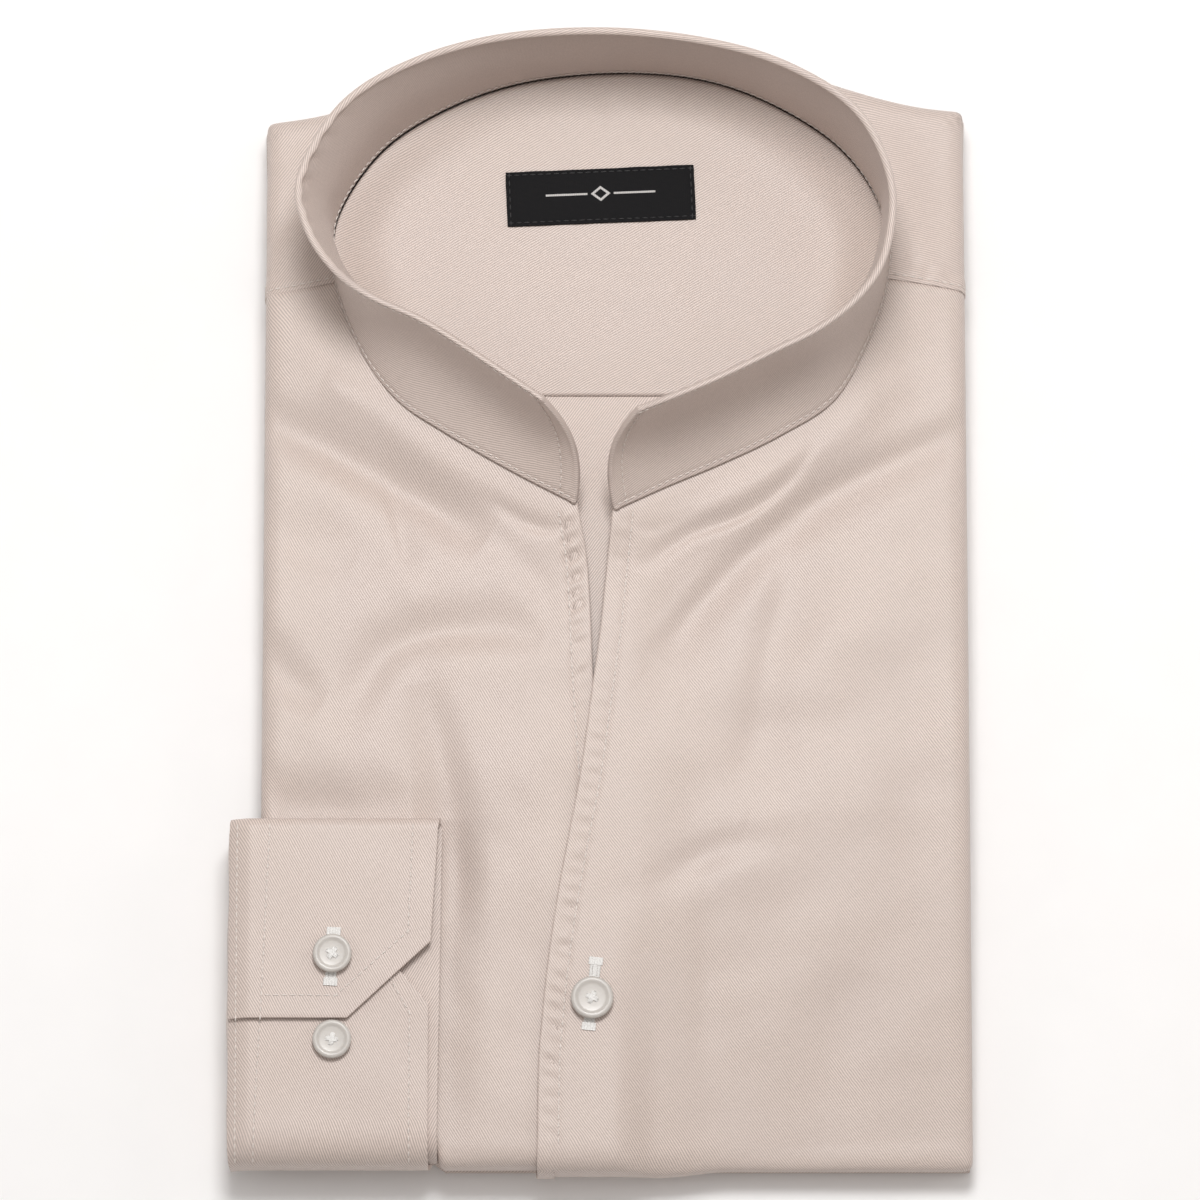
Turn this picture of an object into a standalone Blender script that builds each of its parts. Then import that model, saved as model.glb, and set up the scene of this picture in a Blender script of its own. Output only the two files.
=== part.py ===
"""Folded long-sleeved shirt with a tulip collar, lying flat on its back.

+Z is up, +Y points to the collar, +X to the side where the upper front lies.
Sizes are in millimetres up to the moment a point is stored, in metres, in a mesh.
"""
import math

import bmesh
import bpy
from mathutils import Vector

MM = 0.001

# Folded body
BODY_LEFT = -91.2
BODY_RIGHT = 99.6
BODY_BOTTOM = -154.8
DECK_TOP = 20.5  # outer face of the fronts
BACK_DROP = 3.0  # how much lower the shoulders lie
BACK_DROP_FROM = 80.0
BACK_DROP_TO = 140.0
DECK_UNDER = 5.5  # where the rolled sides turn under
ROLL_ANGLE = math.radians(150)
CORNER_POWER = 3.2  # 2 makes round corners, more makes squarer ones
CLOTH = 1.2
SEAM_GAP = 0.5
TOP_ROW = 150.0  # a row past the shoulders, where the body is at its lowest
TOP_EDGE = 134.2
TOP_EDGE_SLOPE = 0.02
TOP_HUMP = 21.0
TOP_HUMP_CENTRE = 4.0
TOP_HUMP_WIDTH = 63.0
TOP_HUMP_POWER = 2.6
SHOULDER_SIDE = 83.5  # where both shoulder seams reach the side folds
FRONT_SIDE = 16.0  # the row of the fronts that starts at the collar's end

# Collar, from its left end round the back to its right end: the seam that it stands on,
# how far its rim lies from that seam, and how high the rim is above it
COLLAR = (
    # x, y, z, lean_x, lean_y, rise
    (-6.5, 25.0, 23.5, -9.0, 22.4, 29.4),
    (-24.0, 34.2, 23.5, -6.0, 23.3, 29.4),
    (-42.2, 45.0, 23.4, -5.0, 23.9, 29.3),
    (-55.0, 54.2, 23.2, -7.1, 21.5, 30.4),
    (-65.0, 68.5, 22.6, -6.8, 13.8, 34.4),
    (-71.6, 87.0, 21.9, -7.4, 6.6, 36.3),
    (-72.5, 104.5, 20.8, -8.2, 3.0, 36.6),
    (-61.0, 124.0, 19.2, -8.8, 3.6, 36.5),
    (-43.8, 136.6, 18.2, -7.6, 3.2, 36.8),
    (-22.0, 145.0, 17.3, -4.8, 2.0, 37.4),
    (4.0, 148.1, 17.0, -1.5, 0.6, 37.9),
    (28.3, 146.0, 17.4, 1.6, -0.6, 38.0),
    (49.0, 138.0, 18.4, 2.6, 0.2, 38.0),
    (67.0, 125.0, 19.7, 2.4, 0.4, 38.0),
    (77.6, 107.5, 21.2, 0.4, -1.8, 38.0),
    (78.0, 88.0, 22.2, -1.4, -1.6, 38.0),
    (72.6, 70.5, 22.8, -2.6, 4.0, 37.6),
    (63.4, 54.0, 23.2, -4.0, 11.8, 35.8),
    (49.0, 44.2, 23.4, -2.9, 14.8, 34.9),
    (33.3, 36.4, 23.5, -1.9, 15.4, 34.8),
    (17.9, 29.8, 23.5, 0.8, 16.8, 34.0),
    (3.8, 23.3, 23.5, 6.4, 20.9, 31.1),
)
COLLAR_WALL = 2.2
COLLAR_LIFT = 0.45
COLLAR_END_BOW = 1.8  # the ends are curved, not cut straight
COLLAR_END_ROWS = 0.8
LEFT_SHOULDER = 5.0  # rows of the collar where the shoulder seams meet it
RIGHT_SHOULDER = 15.0
COLLAR_LAST = len(COLLAR) - 1.0
NECK_RISE_WIDTH = 13.0
NECK_CALM = 12.0  # the folds of the fronts grow over this far from the neck seam
EDGE_CALM = 9.0  # and die out over this far round the rolled edges
LAP_CALM = 0.8

# Front edges, from the collar to the hem: y, x
LEFT_EDGE = ((25.0, -6.5), (11.5, -4.1), (-0.4, -3.2), (-26.5, -1.9), (-109.2, 4.5), (-156.7, 8.5))
RIGHT_EDGE = ((23.3, 3.8), (2.3, 1.6), (-26.8, -1.9), (-48.2, -4.8), (-82.2, -11.0),
              (-100.6, -13.6), (-128.3, -16.0), (-156.9, -16.3))
LAP_LIFT = 1.65
LAP_REACH = 19.0  # the lift dies out this far past the edge below
LAP_FADE = 9.0
LAP_FROM = 3.0  # the lift starts at this y, in the neck slit
LAP_GROWTH = 27.0

# The largest folds of the fronts: path, half width, height (less than 0 in a trough)
LEFT_FOLDS = (
    (((-96.0, 57.0), (-73.2, 46.0), (-43.3, 29.3), (-30.0, 20.0)), 7.0, -1.7),
    (((-76.0, 61.0), (-60.0, 54.5), (-40.0, 42.0)), 7.0, 1.3),
    (((-69.0, -30.0), (-59.3, -12.1), (-45.9, -5.2), (-28.0, -9.0)), 6.0, -1.0),
    (((-50.0, -22.0), (-43.0, -47.8), (-38.5, -70.0), (-36.0, -110.0)), 6.5, -1.2),
    (((-90.0, -53.0), (-56.0, -54.5)), 6.0, -1.2),
)
RIGHT_FOLDS = (
    (((104.0, 53.0), (62.3, 32.1), (43.3, 18.2), (29.7, 4.4), (14.0, -15.0)), 7.5, -1.8),
    (((78.0, 58.0), (54.2, 41.0), (32.5, 27.5), (14.0, 17.0)), 7.0, 1.4),
    (((56.0, 28.0), (47.0, -12.0), (40.3, -48.0)), 8.0, -0.7),
    (((6.0, -80.0), (15.0, -76.0), (28.0, -69.6), (58.0, -71.0)), 7.0, -1.2),
)

# Inside of the neck
FLOOR_DEEP = 14.6
FLOOR_HIGH = 17.2
FLOOR_SLOPE_FROM = 56.0
FLOOR_SLOPE_TO = -25.0
LINING_SEAM_Y = 57.0
LINING_SEAM_LEFT = -62.0
LINING_SEAM_RIGHT = 67.0
LINING_RISE_WIDTH = 9.0
LINING_RISE_FROM = 66.0  # its edge follows the neck seam up past this row
LINING_RISE_GROWTH = 18.0
LINING_UNDER_SEAM = 0.2
LINING_FIRST = 4.7
LINING_LAST = 15.3
LINING_INSET = 0.9
BACK_HALF_TOP = 64.0
BACK_HALF_BOTTOM = 34.0
BACK_CENTRE = 2.5
BACK_BOTTOM = -36.0

LABEL_CENTRE = (0.2, 113.2)
LABEL_SIZE = (51.5, 15.3)
LABEL_TURN = math.radians(2.4)
LABEL_WALL = 1.0

# Cuff: a band folded on itself, its layers counted outwards from the front that it lies on
CUFF_LEFT = -94.8
CUFF_EDGE_UPPER = (-45.2, -43.3)  # x of the band's edge at the upper leaf's cut and at its fold
CUFF_EDGE_BACK = (-42.3, -43.4)
CUFF_EDGE_UNDER = -45.8
CUFF_WALL = 1.5
CUFF_LEVELS = (1.2, 3.1, 5.0)  # middle of the back layer, the under-leaf and the upper leaf
CUFF_TOP = -64.2
CUFF_UPPER_END = -115.8
CUFF_UNDER_END = -85.8
CUFF_CUT_ACROSS = 22.2  # the cut corner at each end of the band
CUFF_CUT_UPPER = 20.6
CUFF_CUT_UNDER = 26.0
CUFF_WRAP = 13.5  # how far it goes on over the bottom fold
CUFF_RECESS = 3.9  # how far it presses the bottom fold in
CUFF_RECESS_FROM = -28.0
CUFF_RECESS_FADE = 14.0

# Sleeve: a flattened tube that comes out from between the layers and rolls up round the side,
# through these places: x, z
SLEEVE_PATH = ((-85.2, 3.4), (-89.0, 3.5), (-92.8, 4.9), (-96.0, 8.2), (-97.2, 12.6), (-97.4, 17.2),
               (-97.4, 20.9), (-97.0, 23.2), (-96.3, 24.1), (-95.6, 24.25))
SLEEVE_TOP = -62.4
SLEEVE_BOTTOM = -150.5
SLEEVE_WALL = 1.1
SLEEVE_HALF_THICK = 1.1

# Buttons
FRONT_BUTTON = (-2.1, -110.1)
CUFF_BUTTON_UPPER = (-71.3, -98.8)
CUFF_BUTTON_LOWER = (-71.3, -121.6)
FRONT_BUTTON_SIZE = (11.4, 2.6)
CUFF_BUTTON_SIZE = (10.4, 2.4)
HOLE_SPACING = 1.35
HOLE_RADIUS = 0.8

# Layers folded away, as one solid
CORE_GAP = 0.45
CORE_GAP_TOP = 1.3  # more under the curved top fold
CORE_GAP_FROM = 85.0
CORE_GAP_GROWTH = 30.0
CORE_DEPTH = 3.8  # clear of the folds above it
CORE_ANGLE = math.radians(118)
# Levels under the rolled edge: reach past the line where the edges start to roll, as a share of
# the roll's radius, and z
LAYERS = ((0.05, 8.4), (0.05, 5.3), (0.88, 4.5), (0.93, 3.6), (0.76, 2.9),
          (0.88, 2.3), (0.93, 1.3), (0.84, 0.35), (0.68, 0.0))
SLEEVE_NOTCH = -44.0  # below this row the lower layers give way to the sleeve and the cuff
CORNER_NOTCH = -64.0
HOLLOW_CENTRE_Y = 75.0  # the layers sink under the neck's hollow
HOLLOW_SIZE = (70.0, 66.0)
HOLLOW_RIM = 0.2
HOLLOW_FROM = -52.0
HOLLOW_GROWTH = 12.0
CORE_COLUMNS = 16
CORE_ROWS = 24
CORE_TURNED = 4  # cells that lie on each rolled edge
CORE_CUFF_SHARE = 0.3  # of the columns, those behind the cuff
CORE_LAST_ROW = 140.0
CORE_TOP_ROWS = 60.0  # rows above this follow the top fold


def smooth(value):
    value = min(1.0, max(0.0, value))
    return value * value * (3.0 - 2.0 * value)


def blend(start, end, share):
    return start + (end - start) * share


def through(rows, place):
    """Read a table of sections at a row number that need not be whole (Catmull-Rom)."""
    last = len(rows) - 1
    index = min(last - 1, max(0, int(place)))
    share = place - index
    before, here, after, beyond = (
        rows[min(last, max(0, index + step))] for step in (-1, 0, 1, 2)
    )
    result = []
    for a, b, c, d in zip(before, here, after, beyond):
        slope_in = (c - a) / 2 if index > 0 else c - b
        slope_out = (d - b) / 2 if index < last - 1 else c - b
        squared = share * share
        cubed = squared * share
        result.append(
            (2 * cubed - 3 * squared + 1) * b
            + (cubed - 2 * squared + share) * slope_in
            + (3 * squared - 2 * cubed) * c
            + (cubed - squared) * slope_out
        )
    return result


def edge_x(table, y):
    """A front edge's x at y, straight between the rows of its table."""
    for (y_above, x_above), (y_below, x_below) in zip(table, table[1:]):
        if y >= y_below:
            return blend(x_above, x_below, (y_above - y) / (y_above - y_below))
    return table[-1][1]


# The neck seam

def neck_point(place):
    x, y, z, *_ = through(COLLAR, place)
    return Vector((x, y, z))


def neck_outward(place):
    """The level direction away from the neck's hollow."""
    along = neck_point(min(COLLAR_LAST, place + 0.05)) - neck_point(max(0.0, place - 0.05))
    return Vector((-along.y, along.x, 0.0)).normalized()


NECK_STEPS = 110
NECK_SAMPLES = [neck_point(COLLAR_LAST * step / NECK_STEPS) for step in range(NECK_STEPS + 1)]


def nearest_neck(x, y):
    """Distance to the neck seam and the seam's height there."""
    nearest = min(NECK_SAMPLES, key=lambda seam: (seam.x - x) ** 2 + (seam.y - y) ** 2)
    return math.hypot(nearest.x - x, nearest.y - y), nearest.z


# The folded body's outer face

def deck_top(y):
    return DECK_TOP - BACK_DROP * smooth((y - BACK_DROP_FROM) / (BACK_DROP_TO - BACK_DROP_FROM))


def roll_radius(y):
    return (deck_top(y) - DECK_UNDER) / 2


def roll_starts(x, y):
    """Where the sides, the bottom and the top start to roll under."""
    left = BODY_LEFT + roll_radius(y)
    right = BODY_RIGHT - roll_radius(y)
    recess = CUFF_RECESS * smooth((CUFF_RECESS_FROM - x) / CUFF_RECESS_FADE)
    bottom = BODY_BOTTOM + roll_radius(0.0) + recess
    hump = math.exp(-((abs(x - TOP_HUMP_CENTRE) / TOP_HUMP_WIDTH) ** TOP_HUMP_POWER))
    top = TOP_EDGE + TOP_EDGE_SLOPE * x + TOP_HUMP * hump - roll_radius(TOP_ROW)
    return left, right, bottom, top


def roll_parts(u, v, sides=True):
    """The start of the roll nearest a point of the flat cloth, its direction and its length."""
    left, right, bottom, top = roll_starts(u, v)
    x = min(right, max(left, u)) if sides else u
    y = min(top, max(bottom, v))
    over = Vector((u - x, v - y, 0.0))
    length = max(abs(over.x), abs(over.y))
    if length < 1e-6:
        return Vector((x, y, deck_top(y))), Vector((0.0, 0.0, 0.0)), 0.0
    reach = (abs(over.x) ** CORNER_POWER + abs(over.y) ** CORNER_POWER) ** (1.0 / CORNER_POWER)
    return Vector((x, y, deck_top(y))), over / reach, length


def rolled(u, v, out=0.0, sides=True):
    """The place of a point of the flat cloth once its edges are rolled under, moved out."""
    start, direction, length = roll_parts(u, v, sides)
    radius = roll_radius(start.y)
    angle = length / radius
    up = Vector((0.0, 0.0, 1.0))
    normal = direction * math.sin(angle) + up * (math.cos(angle) if length > 1e-6 else 1.0)
    return start - up * radius + normal * (radius + out)


def fold_height(folds, x, y):
    total = 0.0
    for path, width, height in folds:
        count = len(path) - 1
        best = None
        for index in range(count):
            (x_a, y_a), (x_b, y_b) = path[index], path[index + 1]
            run_x, run_y = x_b - x_a, y_b - y_a
            share = ((x - x_a) * run_x + (y - y_a) * run_y) / (run_x * run_x + run_y * run_y)
            share = min(1.0, max(0.0, share))
            distance = math.hypot(x - x_a - share * run_x, y - y_a - share * run_y)
            if best is None or distance < best[0]:
                best = (distance, (index + share) / count)
        distance, place = best
        taper = math.sqrt(math.sin(math.pi * min(0.97, max(0.03, place))))
        total += height * taper * math.exp(-((distance / width) ** 2))
    return total


def front_point(u, v, folds, lap=0.0):
    """Outer face of a front: the rolled body, risen to the collar, with its folds."""
    distance, seam_height = nearest_neck(u, v)
    start, _, length = roll_parts(u, v)
    flat = smooth(1.0 - length / EDGE_CALM)
    rise = (seam_height - rolled(u, v).z) * math.exp(-((distance / NECK_RISE_WIDTH) ** 2)) * flat
    calm = smooth((distance - NECK_CALM / 4) / NECK_CALM) * flat * (1.0 - LAP_CALM * lap / LAP_LIFT)
    return rolled(u, v, rise + calm * fold_height(folds, u, v) + lap)


# Meshes

def material(name, colour, roughness, metallic=0.0):
    made = bpy.data.materials.new(name)
    made.use_nodes = True
    shader = made.node_tree.nodes["Principled BSDF"]
    shader.inputs["Base Color"].default_value = (*colour, 1.0)
    shader.inputs["Roughness"].default_value = roughness
    shader.inputs["Metallic"].default_value = metallic
    return made


def new_collection(name):
    collection = bpy.data.collections.new(name)
    bpy.context.scene.collection.children.link(collection)
    return collection


def add_piece(name, mesh, finish):
    piece = bpy.data.objects.new(name, mesh)
    mesh.materials.append(finish)
    mesh.shade_smooth()
    SHIRT.objects.link(piece)
    return piece


def cloth_wall(name, columns, rows, place, thickness, offset, finish, closed=False):
    """A grid of cloth bent by place(a, b), a and b from 0 to 1, and given its thickness."""
    form = bmesh.new()
    bmesh.ops.create_grid(form, x_segments=columns, y_segments=rows, size=0.5)
    for vertex in form.verts:
        vertex.co = place(vertex.co.x + 0.5, vertex.co.y + 0.5) * MM
    if closed:
        bmesh.ops.remove_doubles(form, verts=form.verts, dist=1e-5)
    mesh = bpy.data.meshes.new(name)
    form.to_mesh(mesh)
    form.free()
    piece = add_piece(name, mesh, finish)
    wall = piece.modifiers.new("wall", "SOLIDIFY")
    wall.thickness = thickness * MM
    wall.offset = offset
    return piece


def pick(share, parts):
    """Split 0 to 1 over the parts of a grid, each given its number of cells."""
    cell = share * sum(parts)
    last = len(parts) - 1
    for index, cells in enumerate(parts):
        if cell <= cells + 1e-6 or index == last:
            return index, cell / cells
        cell -= cells


# Fronts, on a grid from the bottom fold up to the shoulder seam and from the side to the edge

ROLL_CELLS = 6
FLAT_COLUMNS = 10
FLAT_ROWS = 15
NECK_ROWS = 9
BOTTOM_FADE = 40.0  # rows above the bottom fold follow it this far up


def front_bottom(edge_table):
    """Where the bottom fold starts at a front's edge."""
    return roll_starts(edge_x(edge_table, BODY_BOTTOM), 0.0)[2]


def front_row(b, edge_table, collar_end, shoulder):
    """Inner end of a row of a front, and the height at the side where the row ends."""
    part, share = pick(b, (ROLL_CELLS, FLAT_ROWS, NECK_ROWS))
    end = neck_point(collar_end)
    if part == 2:
        place = blend(collar_end, shoulder, share)
        seam = neck_point(place) + neck_outward(place) * (SEAM_GAP / 2)
        lowered = SEAM_GAP / 2 * share
        return seam.x, seam.y - lowered, blend(FRONT_SIDE, SHOULDER_SIDE, share) - lowered
    bottom = front_bottom(edge_table)
    if part == 1:
        y = blend(bottom, end.y, share)
        return edge_x(edge_table, y), y, blend(bottom, FRONT_SIDE, share)
    y = bottom - (1.0 - share) * ROLL_ANGLE * roll_radius(0.0)
    return edge_x(edge_table, bottom), y, y


def front_grid_point(a, b, side, edge_table, collar_end, shoulder, folds, lap):
    """a runs from the side fold, side -1 on the left and 1 on the right, to the front edge."""
    inner_x, inner_y, side_y = front_row(b, edge_table, collar_end, shoulder)
    left, right, *_ = roll_starts(0.0, side_y)
    start = left if side < 0 else right
    part, share = pick(a, (ROLL_CELLS, FLAT_COLUMNS))
    if part == 0:
        u = start + side * (1.0 - share) * ROLL_ANGLE * roll_radius(side_y)
        v = side_y
    else:
        u = blend(start, inner_x, share)
        v = blend(side_y, inner_y, share)
    bottom = front_bottom(edge_table)
    v += (roll_starts(u, v)[2] - bottom) * smooth(1.0 - (v - bottom) / BOTTOM_FADE)
    return front_point(u, v, folds, lap(u, v))


def no_lap(x, y):
    return 0.0


def over_left(x, y):
    """How far the right front is lifted where it lies over the left one."""
    below_slit = smooth((LAP_FROM - y) / LAP_GROWTH)
    return LAP_LIFT * below_slit * smooth((edge_x(LEFT_EDGE, y) + LAP_REACH - x) / LAP_FADE)


def make_fronts():
    def left_place(a, b):
        return front_grid_point(a, b, -1, LEFT_EDGE, 0.0, LEFT_SHOULDER, LEFT_FOLDS, no_lap)

    def right_place(a, b):
        return front_grid_point(
            1.0 - a, b, 1, RIGHT_EDGE, COLLAR_LAST, RIGHT_SHOULDER, RIGHT_FOLDS, over_left
        )

    columns = ROLL_CELLS + FLAT_COLUMNS
    rows = ROLL_CELLS + FLAT_ROWS + NECK_ROWS
    cloth_wall("front_left", columns, rows, left_place, CLOTH, -1.0, TWILL)
    cloth_wall("front_right", columns, rows, right_place, CLOTH, -1.0, TWILL)


# Yoke, on a grid that runs round the neck and out over the top fold

YOKE_COLUMNS = 30
YOKE_FLAT_ROWS = 4
YOKE_SIDE_SHARE = 0.3  # of the columns, those that end at one side


def yoke_rim(share):
    """Outer end of a column on the flat cloth, round three sides of the body."""
    left, right, _, _ = roll_starts(0.0, SHOULDER_SIDE)
    over = ROLL_ANGLE * roll_radius(TOP_ROW)
    low = Vector((left - over, SHOULDER_SIDE + SEAM_GAP / 2))
    far = Vector((right + over, SHOULDER_SIDE + SEAM_GAP / 2))
    if share < YOKE_SIDE_SHARE:
        top = roll_starts(left, TOP_ROW)[3] + over
        return Vector((low.x, blend(low.y, top, share / YOKE_SIDE_SHARE)))
    if share > 1.0 - YOKE_SIDE_SHARE:
        top = roll_starts(right, TOP_ROW)[3] + over
        return Vector((far.x, blend(far.y, top, (1.0 - share) / YOKE_SIDE_SHARE)))
    x = blend(low.x, far.x, (share - YOKE_SIDE_SHARE) / (1.0 - 2.0 * YOKE_SIDE_SHARE))
    return Vector((x, roll_starts(x, TOP_ROW)[3] + over))


def make_yoke():
    def place(a, b):
        along = blend(LEFT_SHOULDER, RIGHT_SHOULDER, a)
        seam = neck_point(along) + neck_outward(along) * (SEAM_GAP / 2)
        end_share = max(0.0, 1.0 - min(a, 1.0 - a) * YOKE_COLUMNS)
        seam.y += end_share * SEAM_GAP / 2
        rim = yoke_rim(a)
        start, _, _ = roll_parts(rim.x, rim.y)
        part, share = pick(b, (YOKE_FLAT_ROWS, ROLL_CELLS))
        if part == 0:
            u, v = blend(seam.x, start.x, share), blend(seam.y, start.y, share)
        else:
            u, v = blend(start.x, rim.x, share), blend(start.y, rim.y, share)
        return front_point(u, v, ())

    cloth_wall("yoke", YOKE_COLUMNS, YOKE_FLAT_ROWS + ROLL_CELLS, place, CLOTH, -1.0, TWILL)


# Inside of the neck

def floor_height(y):
    share = smooth((FLOOR_SLOPE_FROM - y) / (FLOOR_SLOPE_FROM - FLOOR_SLOPE_TO))
    return blend(FLOOR_DEEP, FLOOR_HIGH, share)


def lining_height(x, y):
    distance, seam_height = nearest_neck(x, y)
    sewn = smooth((y - LINING_RISE_FROM) / LINING_RISE_GROWTH)
    rise = math.exp(-((distance / LINING_RISE_WIDTH) ** 2)) * sewn
    return blend(floor_height(y), seam_height - LINING_UNDER_SEAM, rise)


def make_neck_inside():
    def lining_place(a, b):
        along = blend(LINING_FIRST, LINING_LAST, a)
        seam = neck_point(along) - neck_outward(along) * LINING_INSET
        x = blend(blend(LINING_SEAM_LEFT, LINING_SEAM_RIGHT, a), seam.x, b)
        y = blend(LINING_SEAM_Y + SEAM_GAP / 2, seam.y, b)
        return Vector((x, y, lining_height(x, y)))

    def back_place(a, b):
        half = blend(BACK_HALF_BOTTOM, BACK_HALF_TOP, b)
        x = BACK_CENTRE + blend(-half, half, a)
        y = blend(BACK_BOTTOM, LINING_SEAM_Y - SEAM_GAP / 2, b)
        return Vector((x, y, floor_height(y)))

    def label_place(a, b):
        across = blend(-LABEL_SIZE[0] / 2, LABEL_SIZE[0] / 2, a)
        up = blend(-LABEL_SIZE[1] / 2, LABEL_SIZE[1] / 2, b)
        x = LABEL_CENTRE[0] + across * math.cos(LABEL_TURN) - up * math.sin(LABEL_TURN)
        y = LABEL_CENTRE[1] + across * math.sin(LABEL_TURN) + up * math.cos(LABEL_TURN)
        return Vector((x, y, lining_height(x, y) + SEAM_GAP + LABEL_WALL))

    cloth_wall("yoke_lining", 20, 12, lining_place, CLOTH, -1.0, TWILL)
    cloth_wall("back_panel", 8, 8, back_place, CLOTH, -1.0, TWILL)
    cloth_wall("label", 6, 3, label_place, LABEL_WALL, -1.0, LABEL_CLOTH)


# Collar

def collar_point(place, share):
    x, y, z, lean_x, lean_y, rise = through(COLLAR, place)
    lean = Vector((lean_x, lean_y, 0.0))
    outward = neck_outward(place)
    tilt = abs(lean.dot(outward)) / math.hypot(rise, lean.length)
    lift = COLLAR_LIFT + COLLAR_WALL / 2 * tilt
    from_end = min(place, COLLAR_LAST - place)
    along = Vector((outward.y, -outward.x, 0.0)) * (1.0 if place > COLLAR_LAST / 2 else -1.0)
    bow = COLLAR_END_BOW * math.sin(math.pi * share) * smooth(1.0 - from_end / COLLAR_END_ROWS)
    base = Vector((x, y, z + lift))
    return base + (lean + Vector((0.0, 0.0, rise - lift))) * share + along * bow


def make_collar():
    def place(a, b):
        return collar_point(COLLAR_LAST * a, b)

    cloth_wall("collar", 52, 6, place, COLLAR_WALL, 0.0, TWILL)


# Cuff and sleeve

CUFF_CELLS = (3, 3, 5, 7, 5, 3, 5, 3, 3)


def cuff_band(b):
    """Along the folded band: distance along the cloth below it, height out, its edge's x."""
    back, under, upper = CUFF_LEVELS
    bottom = roll_starts(CUFF_LEFT, 0.0)[2]
    wrapped = bottom - CUFF_WRAP
    upper_cut = CUFF_UPPER_END + CUFF_CUT_UPPER
    under_cut = CUFF_UNDER_END - CUFF_CUT_UNDER
    at_cut, at_fold = CUFF_EDGE_UPPER
    back_top, back_low = CUFF_EDGE_BACK
    part, share = pick(b, CUFF_CELLS)
    turn = math.pi * share
    if part == 0:
        return (blend(CUFF_UPPER_END, upper_cut, share), upper,
                at_cut - CUFF_CUT_ACROSS * (1.0 - share))
    if part == 1:
        return blend(upper_cut, CUFF_TOP, share), upper, blend(at_cut, at_fold, share)
    if part == 2:
        radius = (upper - back) / 2
        return (CUFF_TOP + radius * math.sin(turn), back + radius * (1.0 + math.cos(turn)),
                blend(at_fold, back_top, share))
    if part == 3:
        return blend(CUFF_TOP, bottom, share), back, blend(back_top, back_low, share)
    if part == 4:
        return blend(bottom, wrapped, share), back, back_low
    if part == 5:
        radius = (under - back) / 2
        return (wrapped - radius * math.sin(turn), back + radius * (1.0 - math.cos(turn)),
                blend(back_low, CUFF_EDGE_UNDER, share))
    if part == 6:
        return blend(wrapped, bottom, share), under, CUFF_EDGE_UNDER
    if part == 7:
        return blend(bottom, under_cut, share), under, CUFF_EDGE_UNDER
    return (blend(under_cut, CUFF_UNDER_END, share), under,
            CUFF_EDGE_UNDER - CUFF_CUT_ACROSS * share)


def cuff_surface(x, v, out):
    """The cuff is stiff: it lies level across the body's side, and bends over the bottom fold."""
    level = rolled(CUFF_LEFT, v, out, sides=False)
    return Vector((x, level.y, level.z))


def make_cuff():
    def place(a, b):
        v, out, edge = cuff_band(b)
        return cuff_surface(blend(CUFF_LEFT, edge, a), v, out)

    cloth_wall("cuff", 8, sum(CUFF_CELLS), place, CUFF_WALL, 0.0, TWILL)


def sleeve_ring(a):
    """A flattened ring: distance across the sleeve and height out from its middle."""
    part, share = pick(a, (7, 3, 7, 3))
    turn = math.pi * share
    top, bottom = SLEEVE_TOP - SLEEVE_HALF_THICK, SLEEVE_BOTTOM + SLEEVE_HALF_THICK
    if part == 0:
        return blend(top, bottom, share), SLEEVE_HALF_THICK
    if part == 1:
        return bottom - SLEEVE_HALF_THICK * math.sin(turn), SLEEVE_HALF_THICK * math.cos(turn)
    if part == 2:
        return blend(bottom, top, share), -SLEEVE_HALF_THICK
    return top + SLEEVE_HALF_THICK * math.sin(turn), -SLEEVE_HALF_THICK * math.cos(turn)


def make_sleeve():
    last = len(SLEEVE_PATH) - 1

    def place(a, b):
        y, out = sleeve_ring(a)
        x, z = through(SLEEVE_PATH, last * b)
        x_next, z_next = through(SLEEVE_PATH, min(last, last * b + 0.05))
        x_before, z_before = through(SLEEVE_PATH, max(0.0, last * b - 0.05))
        along = Vector((x_next - x_before, 0.0, z_next - z_before)).normalized()
        return Vector((x, y, z)) + Vector((-along.z, 0.0, along.x)) * -out

    cloth_wall("sleeve", 20, 14, place, SLEEVE_WALL, 0.0, TWILL, closed=True)


# Buttons

def button_profile(radius, height):
    """Half section of a button with a raised rim, from its axis on top round to its axis below."""
    dish = height * 0.72
    return ((0.0, dish), (radius * 0.66, dish), (radius * 0.82, height), (radius * 0.96, height * 0.86),
            (radius, height * 0.5), (radius * 0.86, 0.0), (0.0, 0.0))


def make_button(name, centre, size):
    diameter, height = size
    curve_mesh = bpy.data.meshes.new(name)
    form = bmesh.new()
    previous = None
    for radius, z in button_profile(diameter / 2, height):
        vertex = form.verts.new((radius * MM, 0.0, z * MM))
        if previous is not None:
            form.edges.new((previous, vertex))
        previous = vertex
    form.to_mesh(curve_mesh)
    form.free()
    button = add_piece(name, curve_mesh, HORN)
    button.location = centre * MM
    turn = button.modifiers.new("turn", "SCREW")
    turn.steps = 20
    turn.render_steps = 20
    turn.use_merge_vertices = True
    turn.merge_threshold = 0.00001
    for index in range(4):
        angle = math.radians(45 + 90 * index)
        bpy.ops.mesh.primitive_cylinder_add(vertices=8, radius=HOLE_RADIUS * MM, depth=height * 3 * MM)
        drill = bpy.context.object
        drill.name = f"{name}_drill_{index + 1}"
        offset = Vector((math.cos(angle), math.sin(angle), 0.0)) * HOLE_SPACING
        drill.location = (centre + offset) * MM
        drill.hide_render = True
        drill.display_type = "WIRE"
        for owner in list(drill.users_collection):
            owner.objects.unlink(drill)
        CUTTERS.objects.link(drill)
        hole = button.modifiers.new(f"hole_{index + 1}", "BOOLEAN")
        hole.operation = "DIFFERENCE"
        hole.object = drill


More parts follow.
